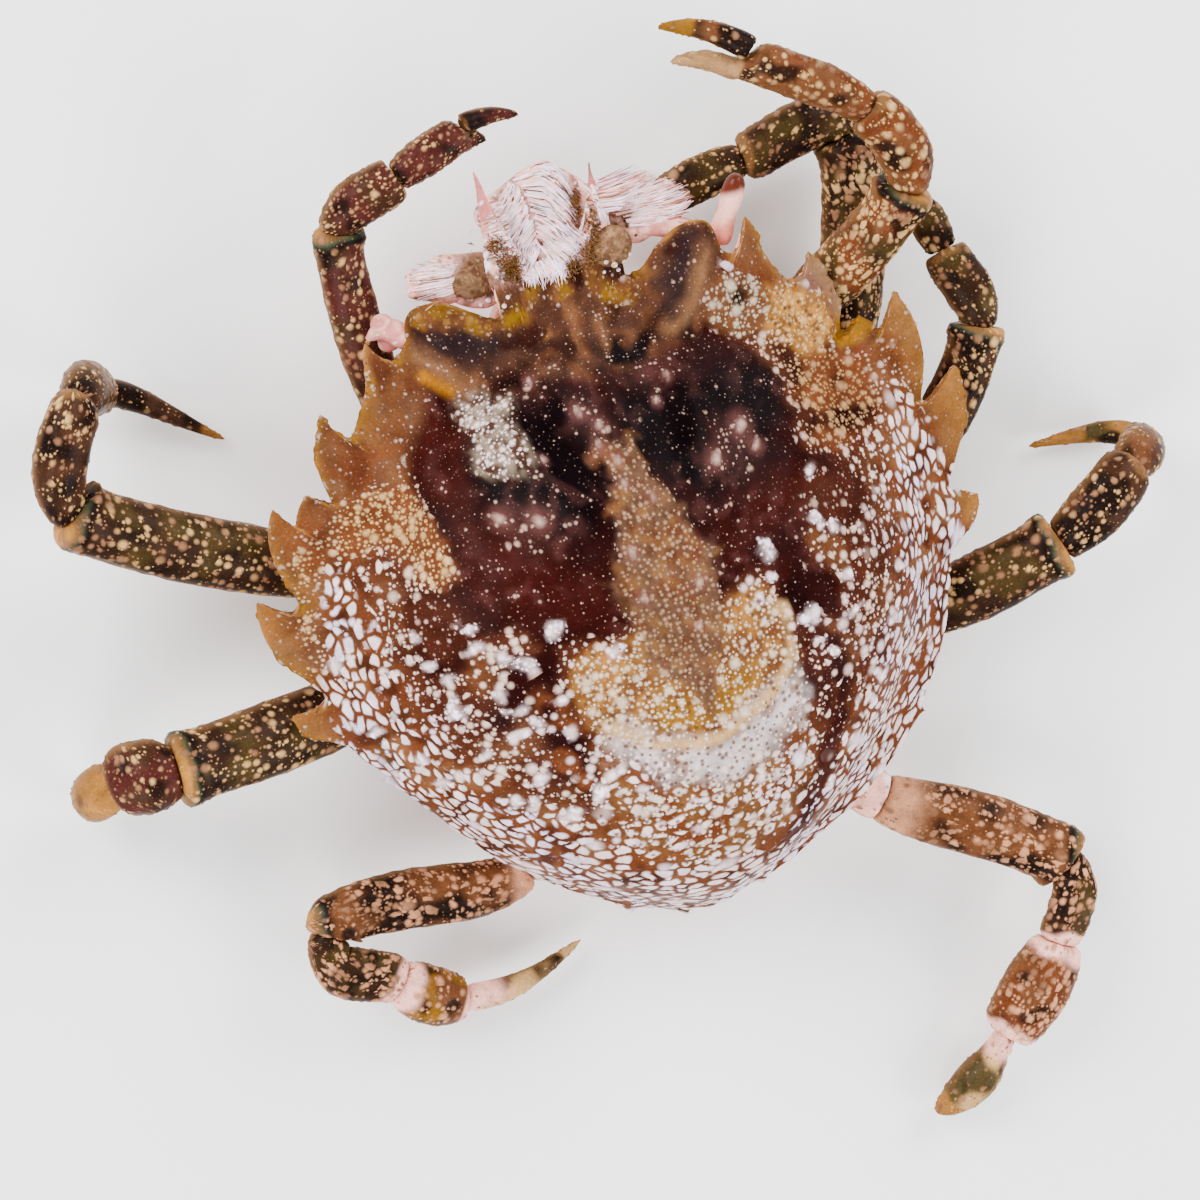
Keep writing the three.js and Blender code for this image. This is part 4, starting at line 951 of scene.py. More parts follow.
# %% Painting the gaps beside the patches
for outline in (LEFT_GAP, RIGHT_GAP):
    zone(inside(flat, outline, 0.4), MAROON, None, [(RUST, 1, 1.0, 63, -0.2, 0.3)],
         cells=0, beads=0.2, pearls=0.35, grains=0.1, specks=0.8, pits=0)
streak = near_line(flat, BACK_STREAK, 0.45, 0.5)
zone(streak, RED_BROWN, None, [(EARTH, 0.8, 0.9, 64, -0.1, 0.3)],
     cells=0.3, beads=0.4, pearls=0.2, grains=0.2, pits=0)
tell_share("streak", streak)

# %% [markdown]
# ## Lobes and teeth
# The lobes at the front and the teeth at the sides are olive brown and nearly bare, with a golden rim that
# is worn thin here and there. The rim is found by the skin's slope: it is where the skin turns down at the
# edge.
# %% Painting the lobes and teeth
zone(lobe, OLIVE_BROWN, SPECK_AND_GLINT,
     [(RUST, 0.8, 1.7, 3, -0.1, 0.4), (EARTH, 0.6, 0.9, 4, 0.0, 0.4), (BEIGE, 0.5, 1.1, 5, 0.05, 0.45)],
     cells=0, beads=0, pearls=0, grains=0.06, specks=0.95, pits=0)
lobe_root = lobe * (1 - soft(reach + 0.8 * drift[:, 0], 12.2, 13.8)) * (1 - soft(still[:, 1], 4.5, 6.5))
zone(lobe_root, None, CREAM, beads=0.75, grains=0.8, pearls=0.2)
coat.wash(lobe * soft(reach, 12.4, 15.0) * 0.45, TIP_TAN)
coat.wash(lobe * soft(8.8 - reach, 0, 1.8) * 0.8, RED_BROWN)
rim = lobe * (1 - soft(facing_up, 0.5, 0.95)) * soft(facing_up, -0.5, 0.0)
coat.wash(rim * 0.7, TIP_TAN)
gold_edge = rim * coat.haze(1.2, 21, -0.15, 0.25)
coat.wash(gold_edge, GOLD)
zone(rim, clouds=[(OLIVE_BROWN, 0.6, 0.5, 22, 0.0, 0.4)], grains=0.45, beads=0.2, pits=0.3)
grey_tooth = lobes[5] * (1 - soft(still[:, 1], 9.6, 10.4)) * 0.8
coat.wash(grey_tooth, VELVET)
coat.wash(near_line(still, GREY_TOOTH_STREAK, 0.14, 0.16) * 0.8, ROSY)
crust = inside(flat, TAN_CRUST, 0.3)
zone(crust, TIP_TAN, CREAM, [(OLIVE_BROWN, 0.7, 0.35, 78, -0.1, 0.3)],
     cells=0, beads=0.6, pearls=0, grains=0.9, pits=0.5)
zone(inside(flat, RIGHT_KNOB_1, 0.2), GOLD, ORANGE, beads=0.7)
coat.wash(near_line(still, ORANGE_SPOT, 0.2, 0.22), ORANGE)
tell_share("golden rim", gold_edge)

# %% [markdown]
# ## Painting the crusts, knobs and beads
# The crusts are ragged white growths with a crumbly grain. Knobs and big beads get a pale ground and pale
# beads, so that each reads as one lump.
# %% Painting the round features
ragged = still + 0.7 * drift
for centre, radius, _ in WHITE_CRUSTS:
    zone(near_point(ragged, centre, radius, 0.35), BROWN, WHITE, [(SILVER, 0.6, 0.4, 69, -0.25, 0.2)],
         cells=0, beads=0.7, pearls=0, grains=1, specks=1, pits=0.2)
zone(near_point(ragged, *GREY_CRUST[:2], 0.25), OLIVE_BROWN, SILVER,
     cells=0, beads=0.75, pearls=0.3, grains=1, specks=1, pits=0.3)
zone(near_point(ragged, GREY_CRUST_PIT, 0.4, 0.3), LEG_DARK, beads=0.1, grains=0.3)
for centre, radius, _ in WHITE_KNOBS:
    coat.wash(near_point(flat, centre, 0.6 * radius, 0.5 * radius) * 0.8, WHITE)
    zone(near_point(flat, centre, radius, 0.5 * radius), None, SNOW, beads=1, pearls=0.9, grains=0.8)
for centre, radius in BIG_BEADS:
    spot = near_point(flat, centre, 0.55 * radius, 0.3 * radius)
    coat.wash(spot * 0.9, WHITE)
    zone(spot, None, SNOW, cells=0.5, grains=0.3, pits=0)
for centre, radius, _ in PINK_KNOBS:
    coat.wash(near_point(still, centre, 2.2 * radius, radius) * 0.4, ROSY)
    coat.wash(near_point(still + 0.2 * drift, centre, 0.7 * radius, 0.5 * radius), KNOB_PINK)
print("round features:", len(WHITE_CRUSTS) + 1 + len(WHITE_KNOBS) + len(BIG_BEADS) + len(PINK_KNOBS))

# %% [markdown]
# ## Horns and underside
# The two horns of the snout are pink with brown velvet at the root of the left one. The side of the shell
# that faces down is pale pink and nearly bare.
# %% Painting the horns and the underside
horns = soft(still[:, 1], 12.5, 13.2) * soft(3.6 - np.abs(still[:, 0]), 0, 0.4)
zone(horns, PALE_PINK, SNOW, [(HAIR_LINE, 1, 0.6, 71, -0.1, 0.3)],
     cells=0, beads=0.8, pearls=0.5, grains=0.5, specks=0.4, pits=0)
horn_roots = horns * (1 - soft(still[:, 1], 13.7, 14.5)) * soft(-still[:, 0], 1.5, 1.9)
coat.cloud(horn_roots, VELVET, 1, 0.5, 77, -0.3, 0.2)
coat.wash(horns * (1 - soft(still[:, 1], 12.9, 13.4)) * 0.8, OLIVE_BROWN)
horn_tips = horns * soft(still[:, 1], 14.4, 15.4)
zone(horn_tips, PINK, beads=0, pearls=0, grains=0.1)
coat.wash(horn_tips * soft(still[:, 0], 0.5, 1.0) * soft(still[:, 1], 15.2, 16.2), HAIR_LINE)
zone(below, PALE_PINK, CREAM, cells=0.3, beads=0.4, pearls=0, grains=0.2, specks=0.2, pits=0.1)
tell_share("side that faces down", below)

# %% [markdown]
# ## Relief of the zones
# Knobs, crusts, ridges and rims stand up from the skin by a tenth or two of a millimetre. One list of
# heights is added up from the same masks and pushed out along the normals. The marks are raised last, on
# the new form.
# %% Shaping the shell's details
lift = np.zeros(len(flat))
for centre, radius, rise in WHITE_KNOBS + PINK_KNOBS:
    lift += rise * near_point(still + 0.25 * drift, centre, radius * 0.8, 0.8 * radius)
for centre, radius in BIG_BEADS:
    lift += 0.09 * near_point(flat, centre, 0.5 * radius, 0.45 * radius)
roughcast = 0.5 + 0.9 * clouds_at(coat.points, 0.3, 31)
for centre, radius, rise in WHITE_CRUSTS + [GREY_CRUST]:
    lift += rise * near_point(flat, centre, radius, 0.2) * (0.8 + 0.6 * roughcast)
lift += 0.22 * crust * (0.7 + 0.7 * roughcast)
lift += 0.16 * near_line(still, ARCH, 0.2, 0.3)
lift += 0.10 * stripe
for line in (LEFT_RIDGE, RIGHT_RIDGE):
    lift += 0.2 * near_line(still, line, 0.2, 0.3)
for line in (LEFT_RIM, MIDDLE_RIM, RIGHT_RIM):
    lift += 0.10 * near_line(still, line, 0.15, 0.2) * (1 + roughcast)
lift += 0.10 * gold_edge * np.clip(clouds_at(coat.points, 0.35, 41) + 0.2, 0, 1) * 2
lift += 0.05 * clouds_at(coat.points, 0.9, 51) * (1 - lobe)
coat.push(lift * soft(facing_up, -0.3, 0.2))
print("highest relief, in mm:", round(float(lift.max()), 2))

# %% Finish of the shell
shell_skin = skin_finish("shell_skin", 0.28, 0.01)
coat.finish(shell_skin)
raise_marks(shell)
print("shell vertices:", len(shell.data.vertices), "faces:", len(shell.data.polygons))
# %% [markdown]
# ## The limbs
# A limb is a chain of plates. Each plate gets coordinates of its own, unrolled like a label from a tube:
# how far along the limb a place is, and how far around. Beads then keep their shape on every side of the
# limb. The seam of the label lies underneath. On the dark legs pinkish beads crowd on a dark ground. The
# two claw legs are redder, and the last pair of legs is pink with an olive net.
# %% Unrolling a plate of a limb
SPOT_SCALE = 1.2
TUBE_PARTS = 8
FLOW_WIDTH = 0.50
FLOW_LENGTH = 0.62


def unroll(coat, toward):
    """Gives the coat places along and around the plate. Returns the share along it and its length in mm."""
    centre = coat.points.mean(axis=0)
    offset = coat.points - centre
    axis = np.linalg.eigh(offset.T @ offset)[1][:, -1]
    if axis @ (toward - centre) < 0:
        axis = -axis
    along = offset @ axis
    side = np.cross(axis, (0, 0, 1.0))
    side /= np.linalg.norm(side)
    top = np.cross(side, axis)
    across, up = offset @ side, offset @ top
    share = (along - along.min()) / np.ptp(along)
    bins = np.clip((share * TUBE_PARTS).astype(int), 0, TUBE_PARTS - 1)
    for number in range(TUBE_PARTS):
        part = bins == number
        if part.any():
            across[part] -= (across[part].max() + across[part].min()) / 2
            up[part] -= (up[part].max() + up[part].min()) / 2
    girth = np.percentile(np.hypot(across, up), 80)
    around = np.arctan2(across, up) * girth
    nothing = np.zeros(len(along))
    coat.place = SPOT_SCALE * np.c_[along + 3.7 * centre[0], around + 5.3 * centre[1], nothing]
    coat.flow = np.c_[coat.place[:, 1] / FLOW_WIDTH, coat.place[:, 0] / FLOW_LENGTH, nothing]
    return share, np.ptp(along)


# %% [markdown]
# ## Painting a plate
# Every plate has two ground colours in clouds, dark flecks and beads of two tints. Its sides, where the skin
# turns neither up nor down, get a tan edge: a painted rim of light, as where light shines through the thin
# edge of a leg. A collar is a band at its outer end, where the skin is pale over the joint, and a root is a
# band at its inner end.
# %% Painting a plate of a limb
RIM_LIGHT_SHARE = 0.6
COLLAR_EDGE = 0.12
LIMB_RELIEF_MM = 0.045


def paint_limb(name, toward, grounds, tints, amounts, collar=(), root=()):
    """Paints a plate with clouds of two ground colours, beads of two tints, and bands at its two ends."""
    coat = Coat(skins[name], grounds[0], tints[0])
    share, length = unroll(coat, toward)
    seed = coat.points[0, 0]
    coat.cloud(1, grounds[1], 1, 1.3, seed, -0.12, 0.3)
    coat.cloud(1, LEG_DARK, 0.9, 0.9, seed + 30, 0.15, 0.45)
    coat.tinge(coat.haze(1.0, seed + 4, -0.1, 0.3), tints[1])
    coat.mark(np.ones(len(share)), **amounts)
    thin = coat.haze(1.6, seed + 8, 0.05, 0.4)
    coat.mark(thin, cells=0.35 * amounts.get("cells", 0), beads=0.6 * amounts.get("beads", 0))
    # Painted rim of light: the sides of the plate are washed tan, as if light shone through its thin edge.
    side = 1 - soft(np.abs(coat.normals[:, 2]), 0.2, 0.62)
    coat.wash(side * RIM_LIGHT_SHARE, CLAW_TAN)
    coat.mark(side * 0.5, cells=0.2)
    under = 1 - soft(coat.normals[:, 2], -0.6, 0.0)
    coat.wash(under * 0.8, TAN)
    from_end = (1 - share) * length
    from_start = share * length
    wobble = 0.25 * clouds_at(coat.points, 0.8, seed + 12)
    if root:
        band, colour = root
        mask = 1 - soft(from_start + wobble, 0.6 * band, 1.4 * band)
        coat.wash(mask, colour)
        coat.mark(mask, cells=0, beads=0.15, grains=0.1)
    for reach_mm, colour in collar:
        mask = 1 - soft(from_end + wobble, reach_mm - COLLAR_EDGE, reach_mm + COLLAR_EDGE)
        coat.wash(mask, colour)
        coat.mark(mask, cells=0, beads=0.25, grains=0.3)
    coat.finish(limb_skin)
    raise_marks(skins[name], LIMB_RELIEF_MM)


# %% [markdown]
# ## Styles of the limbs
# Each limb lists one style for each plate: its grounds, its tints, how many marks it has, its collar and
# its root. Words for the common sets of marks and colours keep the table short.
# %% Marks, collars and colour pairs
limb_skin = skin_finish("limb_skin", 0.26, 0.02, mottle=0.55)
CROWDED = dict(cells=0.55, beads=0.75, pearls=0.6, grains=0.3, specks=0.6)
SPOTTED = dict(cells=0.0, beads=0.65, pearls=0.6, grains=0.2, specks=0.7)
DOTS = dict(cells=0.0, beads=0.5, pearls=0.0, grains=0.5, specks=0.9)
SPRINKLED = dict(cells=0.0, beads=0.45, pearls=0.2, grains=0.25, specks=0.8)
SPARSE = dict(cells=0.0, beads=0.15, grains=0.15, specks=0.6)
KNEE = [(0.8, LEG_DARK), (0.5, KNEE_GREEN), (0.38, CLAW_TAN), (0.16, TIP_TAN)]
TAN_COLLAR = [(0.25, CLAW_TAN)]
PINK_COLLAR = [(0.5, PALE_PINK)]
DARK = (LEG_DARK, LEG_BROWN)
OLIVE_DARK = (LEG_DUSK, LEG_OLIVE)
REDDISH = (LEG_RED, LEG_BROWN)
SPOTS = (LEG_SPOT, CREAM)
CREAM_SPOTS = (CREAM, LEG_SPOT)
PINK_SPOTS = (ROSE_TAN, LEG_SPOT)
GOLDEN = (TIP_TAN, TAN)
GOLDEN_DARK = (OLIVE_BROWN, LEG_DARK)
ROOT_PINK = (PALE_PINK, ROOT_WHITE)
print("knee bands, in mm from the end:", [reach_mm for reach_mm, _ in KNEE])

# %% Styles that several legs share
def walking_leg(upper, middle, lower, tip, knee_marks=SPOTTED, tip_collar=()):
    """The styles of a dark walking leg, from the body outwards."""
    return [(upper, SPOTS, SPOTTED), (upper, SPOTS, knee_marks, KNEE),
            (middle, SPOTS, SPRINKLED, TAN_COLLAR), (lower, SPOTS, SPRINKLED, TAN_COLLAR),
            (tip, SPOTS, SPARSE, tip_collar)]


def last_leg(knee_root, lower, lower_marks, lower_root, tip_collar, tip_root):
    """The styles of a pink last leg, from the body outwards."""
    return [(ROOT_PINK, PINK_SPOTS, SPARSE), (GOLDEN_DARK, PINK_SPOTS, CROWDED, KNEE, (knee_root, ROSE_TAN)),
            (OLIVE_DARK, PINK_SPOTS, CROWDED, PINK_COLLAR),
            (lower, PINK_SPOTS, lower_marks, PINK_COLLAR, (lower_root, PALE_PINK)),
            ((CREAM, OLIVE), SPOTS, SPARSE, tip_collar, (tip_root, PALE_PINK))]


LIMB_STYLES = {
    "left_claw_leg": [
        (DARK, SPOTS, SPOTTED, TAN_COLLAR), (REDDISH, SPOTS, SPOTTED, KNEE), (REDDISH, SPOTS, DOTS),
        ((LEG_RED, LEG_DARK), SPOTS, DOTS), ((LEG_DARK, LEG_RED), SPOTS, SPARSE)],
    "right_claw_leg": [
        (DARK, SPOTS, SPOTTED, TAN_COLLAR), ((RUST, LEG_OLIVE), CREAM_SPOTS, CROWDED, KNEE),
        ((RUST, OLIVE_BROWN), CREAM_SPOTS, SPOTTED, TAN_COLLAR),
        ((OLIVE_BROWN, RUST), CREAM_SPOTS, SPOTTED, [(2.6, FINGER_TAN)]),
        ((LEG_BROWN, OLIVE_BROWN), SPOTS, SPARSE, [(1.2, GOLD)], (1.2, LEG_DARK))],
    "left_second_leg": walking_leg(OLIVE_DARK, DARK, DARK, (LEG_BROWN, LEG_DARK), tip_collar=[(1.1, TAN)]),
    "left_third_leg": walking_leg(OLIVE_DARK, REDDISH, DARK, DARK)[:3] + 2 * [(GOLDEN, SPOTS, SPARSE)],
    "left_fifth_leg": last_leg(1.1, (OLIVE_BROWN, GOLD), SPOTTED, 0.7, [(1.0, CREAM)], 1.6),
    "right_second_leg": walking_leg(OLIVE_DARK, OLIVE_DARK, OLIVE_DARK, (OLIVE, TAN), CROWDED),
    "right_third_leg": walking_leg(DARK, OLIVE_DARK, OLIVE_DARK, (OLIVE, TAN)),
    "right_fourth_leg": walking_leg(OLIVE_DARK, DARK, (BROWN, OLIVE_BROWN), (OLIVE, TAN),
                                    tip_collar=[(2.2, TAN)]),
    "right_fifth_leg": last_leg(1.5, (RUST, OLIVE_BROWN), CROWDED, 0.6, [(0.9, TAN)], 1.0),
}
print("limbs with a style:", len(LIMB_STYLES))

# %% Painting the limbs
for limb, styles in LIMB_STYLES.items():
    ends = ("palm", "finger") if "claw" in limb else ("propodus", "dactylus")
    parts = ("base", "merus", "carpus") + ends
    names = [f"{limb}_{part}" for part in parts]
    centres = [points_of(skins[name].data).mean(axis=0) / MM for name in names]
    centres.append(2 * centres[-1] - centres[-2])
    for name, toward, style in zip(names, centres[1:], styles):
        paint_limb(name, toward, *style)
STUB_POINTS_TO = np.array((-20.0, -2, 3))
paint_limb("left_fourth_leg_stub", STUB_POINTS_TO, OLIVE_DARK, SPOTS, SPOTTED)
print("limbs painted:", len(LIMB_STYLES))

# %% [markdown]
# ## The underside
# The chest, the folded tail and the mouth plates are pale pink and nearly smooth. They are no tubes, so
# their marks are spread evenly, and clouds of cream keep them from looking flat.
# %% Painting the underside
def paint_plate(name, ground, tint, amounts, finish, washes):
    """Paints a plate that is no tube: an even spread of marks, and washes, each a mask and a colour."""
    coat = Coat(skins[name], ground, tint)
    coat.mark(np.ones(len(coat.points)), **amounts)
    for mask_of, colour in washes:
        coat.wash(mask_of(coat.points), colour)
    coat.finish(finish)


def cream_clouds(points):
    """A faint mask of clouds that differ from plate to plate."""
    return 0.5 * soft(clouds_at(points, 1.5, points[0, 0]), -0.2, 0.3)


under_skin = skin_finish("under_skin", 0.42, 0.2, mottle=0.25)
NEARLY_BARE = dict(grains=0.1, pits=0.1, specks=0.2)
UNDER_PLATES = ("chest_plate", "tail_flap", "left_mouth_plate", "right_mouth_plate")
for name in UNDER_PLATES:
    paint_plate(name, PALE_PINK, CREAM, NEARLY_BARE, under_skin, [(cream_clouds, CREAM)])
print("plates of the underside:", len(UNDER_PLATES))

# %% [markdown]
# ## Eyes and feelers
# The eyes sit on short pink stalks. The right one ends in a glossy brown cap. The feelers beside the snout
# are covered with brown velvet, a dense felt of very short hairs, and their outer ends turn pink.
# %% Painting the eyes and feelers
eye_skin = skin_finish("eye_skin", 0.2, 0.1, mottle=0.3)
velvet_skin = skin_finish("velvet_skin", 0.85, 0.02, mottle=0.9)
hair_bed = skin_finish("hair_bed", 0.6, 0.05, mottle=0.6)
LEFT_VELVET = (-2.9, 13.1)
RIGHT_VELVET = (2.3, 12.9)


def cloudy(size, shift):
    """A mask of clouds."""
    return lambda points: 0.8 * soft(clouds_at(points, size, shift), -0.1, 0.3)


def round_spot(points, centre, radius):
    """A round mask seen from above."""
    return near_point(points[:, :2], centre, radius, 0.3)


paint_plate("left_eye", PINK, WHITE, dict(specks=0.1), eye_skin, [(cloudy(0.6, 3), PALE_PINK)])
paint_plate("right_eye", PALE_PINK, WHITE, dict(grains=0.05, specks=0.1), eye_skin,
            [(cloudy(0.7, 5), PINK), (lambda points: 0.7 * (1 - soft(points[:, 1], 11.9, 12.6)), SALMON),
             (lambda points: soft(points[:, 1], 13.1, 13.5), CAP_BROWN)])
paint_plate("left_antenna", PALE_PINK, SPECK_AND_GLINT, dict(grains=0.35, specks=0.4, pits=0.2), velvet_skin,
            [(lambda points: round_spot(points, LEFT_VELVET, 1.0), VELVET),
             (lambda points: round_spot(points, LEFT_VELVET, 0.7) * cloudy(0.35, 7)(points), VELVET_DARK)])
paint_plate("right_antenna", PALE_PINK, VELVET_DARK, dict(grains=0.3, specks=0.3), velvet_skin,
            [(cloudy(0.5, 9), HAIR_LINE), (lambda points: round_spot(points, RIGHT_VELVET, 0.95), VELVET)])
# The brown clouds on the bed of the hair show in the gaps between hairs: partly the skin's colour, partly
# painted shade between the locks.
paint_plate("snout_hair", PALE_PINK, WHITE, dict(beads=0.2, grains=0.3), hair_bed,
            [(cloudy(0.4, 11), HAIR_LINE)])
print("soft plates painted: eyes, feelers and the bed of the hair")

# %% [markdown]
# ## The hair
# White hair grows between the horns, matted and combed over to one side by the sea, and pink fringes stand
# out from the feelers. On the animal each hair is a stiff bristle of chitin that thins to its tip. Here a
# hair is a curve with a thick root and a thin tip, laid on the skin below it. The hairs of one patch are
# drawn along a few guide lines: each hair follows the line between two neighbouring guides for a part of
# their length.
# %% Guide lines of the snout, in mm from above
RIGHT_COMB = [
    [(-0.7, 16.3), (0.4, 16.6), (1, 16.5), (1.3, 15.9), (1.5, 15.2)],
    [(-0.6, 16.1), (0.3, 16.1), (0.8, 15.5), (1.1, 15), (1.3, 14.4)],
    [(-0.5, 15.8), (0.3, 15.4), (0.7, 14.7), (1, 14.3), (1.2, 13.8)],
    [(-0.4, 15.4), (0.3, 15), (0.7, 14.4), (1, 13.9), (1.2, 13.3)],
    [(-0.4, 14.9), (0.2, 14.5), (0.6, 14), (0.8, 13.6), (1, 13.1)],
    [(-0.4, 14.3), (-0.1, 13.9), (0.2, 13.5), (0.5, 13.1), (0.6, 12.7)],
    [(-0.5, 13.8), (-0.4, 13.3), (-0.3, 12.9), (-0.2, 12.5), (-0.1, 12.1)]]
LEFT_COMB = [
    [(-0.8, 16.2), (-1.1, 16), (-1.4, 15.8), (-1.6, 15.5)],
    [(-0.6, 16), (-0.9, 15.7), (-1.3, 15.3), (-1.6, 15)],
    [(-0.5, 15.4), (-0.8, 15.1), (-1.2, 14.7), (-1.6, 14.4)],
    [(-0.4, 14.9), (-0.9, 14.4), (-1.3, 14), (-1.8, 13.6)],
    [(-0.4, 14.1), (-0.8, 13.8), (-1.3, 13.5), (-1.7, 13.1)],
    [(-0.4, 13.6), (-0.8, 13.3), (-1.1, 13), (-1.5, 12.6)]]
MIDDLE_COMB = [
    [(1.7, 15.6), (1.8, 15), (1.9, 14.3), (2, 13.8)],
    [(2.3, 15.1), (2.3, 14.7), (2.3, 14.2), (2.3, 13.8)],
    [(2.9, 15), (2.9, 14.7), (2.8, 14.4), (2.8, 14.1)]]
LEFT_WEDGE = [
    [(-0.9, 15.7), (-1.6, 15.7), (-2.1, 15.6), (-2.5, 15.5)],
    [(-1, 15.1), (-1.6, 15), (-2.1, 15), (-2.6, 14.9)],
    [(-1.4, 14.3), (-1.8, 14.3), (-2.2, 14.4), (-2.6, 14.3)],
    [(-1.7, 13.6), (-2, 13.6), (-2.3, 13.7), (-2.5, 13.7)]]
RIGHT_FAN = [
    [(1.7, 15.2), (2.4, 15.1), (3.4, 15.1), (4.6, 15.1)],
    [(1.9, 14.6), (2.9, 14.4), (4.1, 14.5), (5.4, 14.6)],
    [(2.2, 14.1), (3.3, 14), (4.6, 14), (5.9, 14)],
    [(3.1, 13.7), (4.2, 13.6), (5.2, 13.4), (6.1, 13.4)],
    [(3.3, 13.2), (4.1, 13.1), (4.9, 13), (5.7, 12.9)]]
LEFT_FRINGE = [
    [(-3.6, 13.8), (-4.2, 14), (-4.7, 14.1), (-5, 14.2)],
    [(-3.8, 13.6), (-4.5, 13.8), (-5.1, 13.9), (-5.5, 13.9)],
    [(-3.9, 13.2), (-4.6, 13.3), (-5.3, 13.4), (-5.6, 13.4)],
    [(-3.8, 12.8), (-4.5, 12.8), (-5.1, 12.8), (-5.5, 12.8)]]
BASE_ROW = [
    [(-1.8, 13.3), (-1.7, 13), (-1.6, 12.7), (-1.5, 12.4)],
    [(-0.9, 13.2), (-0.9, 12.8), (-0.8, 12.5), (-0.8, 12.2)],
    [(0.2, 13.2), (0.2, 12.9), (0.2, 12.6), (0.2, 12.3)]]
TUFTS = [
    (-2.3, 14.3), (-2.2, 14), (-2.1, 13.7), (-1.9, 13.4), (-1.8, 13.1), (-2.1, 13.1), (1.5, 14.9),
    (1.5, 14.4), (1.5, 13.9), (1.4, 13.3), (0.5, 12.6), (1.2, 12.8)]
print("guide lines of the two combs:", len(RIGHT_COMB) + len(LEFT_COMB))

# %% [markdown]
# ## Combing
# A hair has six points. Its place among the guides and the part of their length that it follows are drawn
# by chance, from a fixed seed. A ray cast down on the skin gives each point its height, so that hair lies
# on what is under it.
# %% Combing
HAIR_POINTS = 6
HAIR_RADIUS_MM = 0.036
LIFT_MM = 0.05
BEND_POWER = 1.5
TAPER = 0.85
SNOUT_LEVEL = 5.0
RAY_START = 30
dice = random.Random(21)


def floor_of(*names):
    """These skins, ready for rays to be cast on them."""
    return [BVHTree.FromObject(skins[name], bpy.context.evaluated_depsgraph_get()) for name in names]


def height_on(floor, x, y, otherwise):
    """How high the floor lies under this place, in mm."""
    hits = [tree.ray_cast(Vector((x, y, RAY_START)) * MM, Vector((0, 0, -1)))[0] for tree in floor]
    return max([hit.z / MM for hit in hits if hit], default=otherwise)


snout_floor = floor_of("carapace", "snout_hair", "left_antenna", "right_antenna")
print("height between the horns, in mm:", round(height_on(snout_floor, 0, 14, SNOUT_LEVEL), 2))

# %% The line of one hair


def hair_along(guides, part, arch_mm, spread_mm):
    """The places of one hair that follows the guides for this part of their length."""
    across = dice.uniform(0, len(guides) - 1)
    lower = min(int(across), len(guides) - 2)
    blend = across - lower
    guide = (1 - blend) * np.array(guides[lower]) + blend * np.array(guides[lower + 1])
    begin = dice.uniform(0, 1 - part)
    shares = np.linspace(begin, begin + part, HAIR_POINTS)
    steps = np.linspace(0, 1, len(guide))
    flat_places = np.c_[np.interp(shares, steps, guide[:, 0]), np.interp(shares, steps, guide[:, 1])]
    bend = np.linspace(0, 1, HAIR_POINTS) ** BEND_POWER
    flat_places += bend[:, None] * np.array([dice.gauss(0, spread_mm), dice.gauss(0, spread_mm)])
    return on_skin(flat_places, arch_mm)


def on_skin(flat_places, arch_mm):
    """Lays a line on the skin. Its middle stands off by arch_mm. Past the edge it keeps its height."""
    places, level = [], SNOUT_LEVEL
    for step, (x, y) in zip(np.linspace(0, 1, len(flat_places)), flat_places):
        level = height_on(snout_floor, x, y, level - LIFT_MM)
        places.append((x, y, level + LIFT_MM + arch_mm * math.sin(math.pi * min(step + 0.15, 1))))
    return places


def bristle(root, length_mm, lean):
    """The places of one short hair that stands up from the skin."""
    x, y = root[0] + dice.gauss(0, 0.2), root[1] + dice.gauss(0, 0.2)
    z = height_on(snout_floor, x, y, SNOUT_LEVEL)
    turn, steps = dice.uniform(0, 2 * math.pi), np.linspace(0, 1, HAIR_POINTS)
    lean_x, lean_y = lean * math.cos(turn), lean * math.sin(turn)
    return [(x + lean_x * s * s, y + lean_y * s * s, z + length_mm * s) for s in steps]


# %% From lines to a mesh of hairs
def empty_curve(name):
    """Adds a curve with no lines in it yet."""
    bpy.ops.object.select_all(action="DESELECT")
    bpy.ops.curve.primitive_nurbs_path_add()
    bpy.context.object.name = name
    bpy.context.object.data.splines.clear()
    return bpy.context.object.data


def draw_line(curve, kind, places, radii):
    """Adds a line through these places, in mm, with a radius at each of them."""
    spline = curve.splines.new(kind)
    spline.points.add(len(places) - 1)
    for point, place, radius in zip(spline.points, places, radii):
        point.co = (*(c * MM for c in place), 1)
        point.radius = radius
    return spline


def thick_mesh(curve, depth_mm, rounding):
    """Gives the lines their thickness and turns them into a mesh."""
    curve.bevel_depth = depth_mm * MM
    curve.bevel_resolution = rounding
    curve.use_fill_caps = True
    bpy.ops.object.convert(target="MESH")
    bpy.ops.object.shade_smooth()
    return bpy.context.object


def hairs(name, places, thickness, palette):
    """Turns the lines into one mesh of tapered hairs, each with a colour from the palette."""
    curve = empty_curve(name)
    thinning = 1 - TAPER * np.linspace(0, 1, HAIR_POINTS) ** BEND_POWER
    for line in places:
        draw_line(curve, "POLY", line, thickness * dice.uniform(0.6, 1.3) * thinning)
    mesh = thick_mesh(curve, HAIR_RADIUS_MM, 0).data
    colours = np.array([palette[dice.randrange(len(palette))] for _ in places])
    each = len(mesh.vertices) // len(places)
    ground = np.c_[np.repeat(colours, each, axis=0), np.ones(each * len(places))]
    layer = mesh.attributes.new("ground", "FLOAT_COLOR", "POINT")
    layer.data.foreach_set("color", ground.astype(np.float32).ravel())
    mesh.materials.append(hair_finish)
    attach(bpy.context.object, "root")
    print(name, "hairs:", len(places), "vertices each:", each, "faces:", len(mesh.polygons))


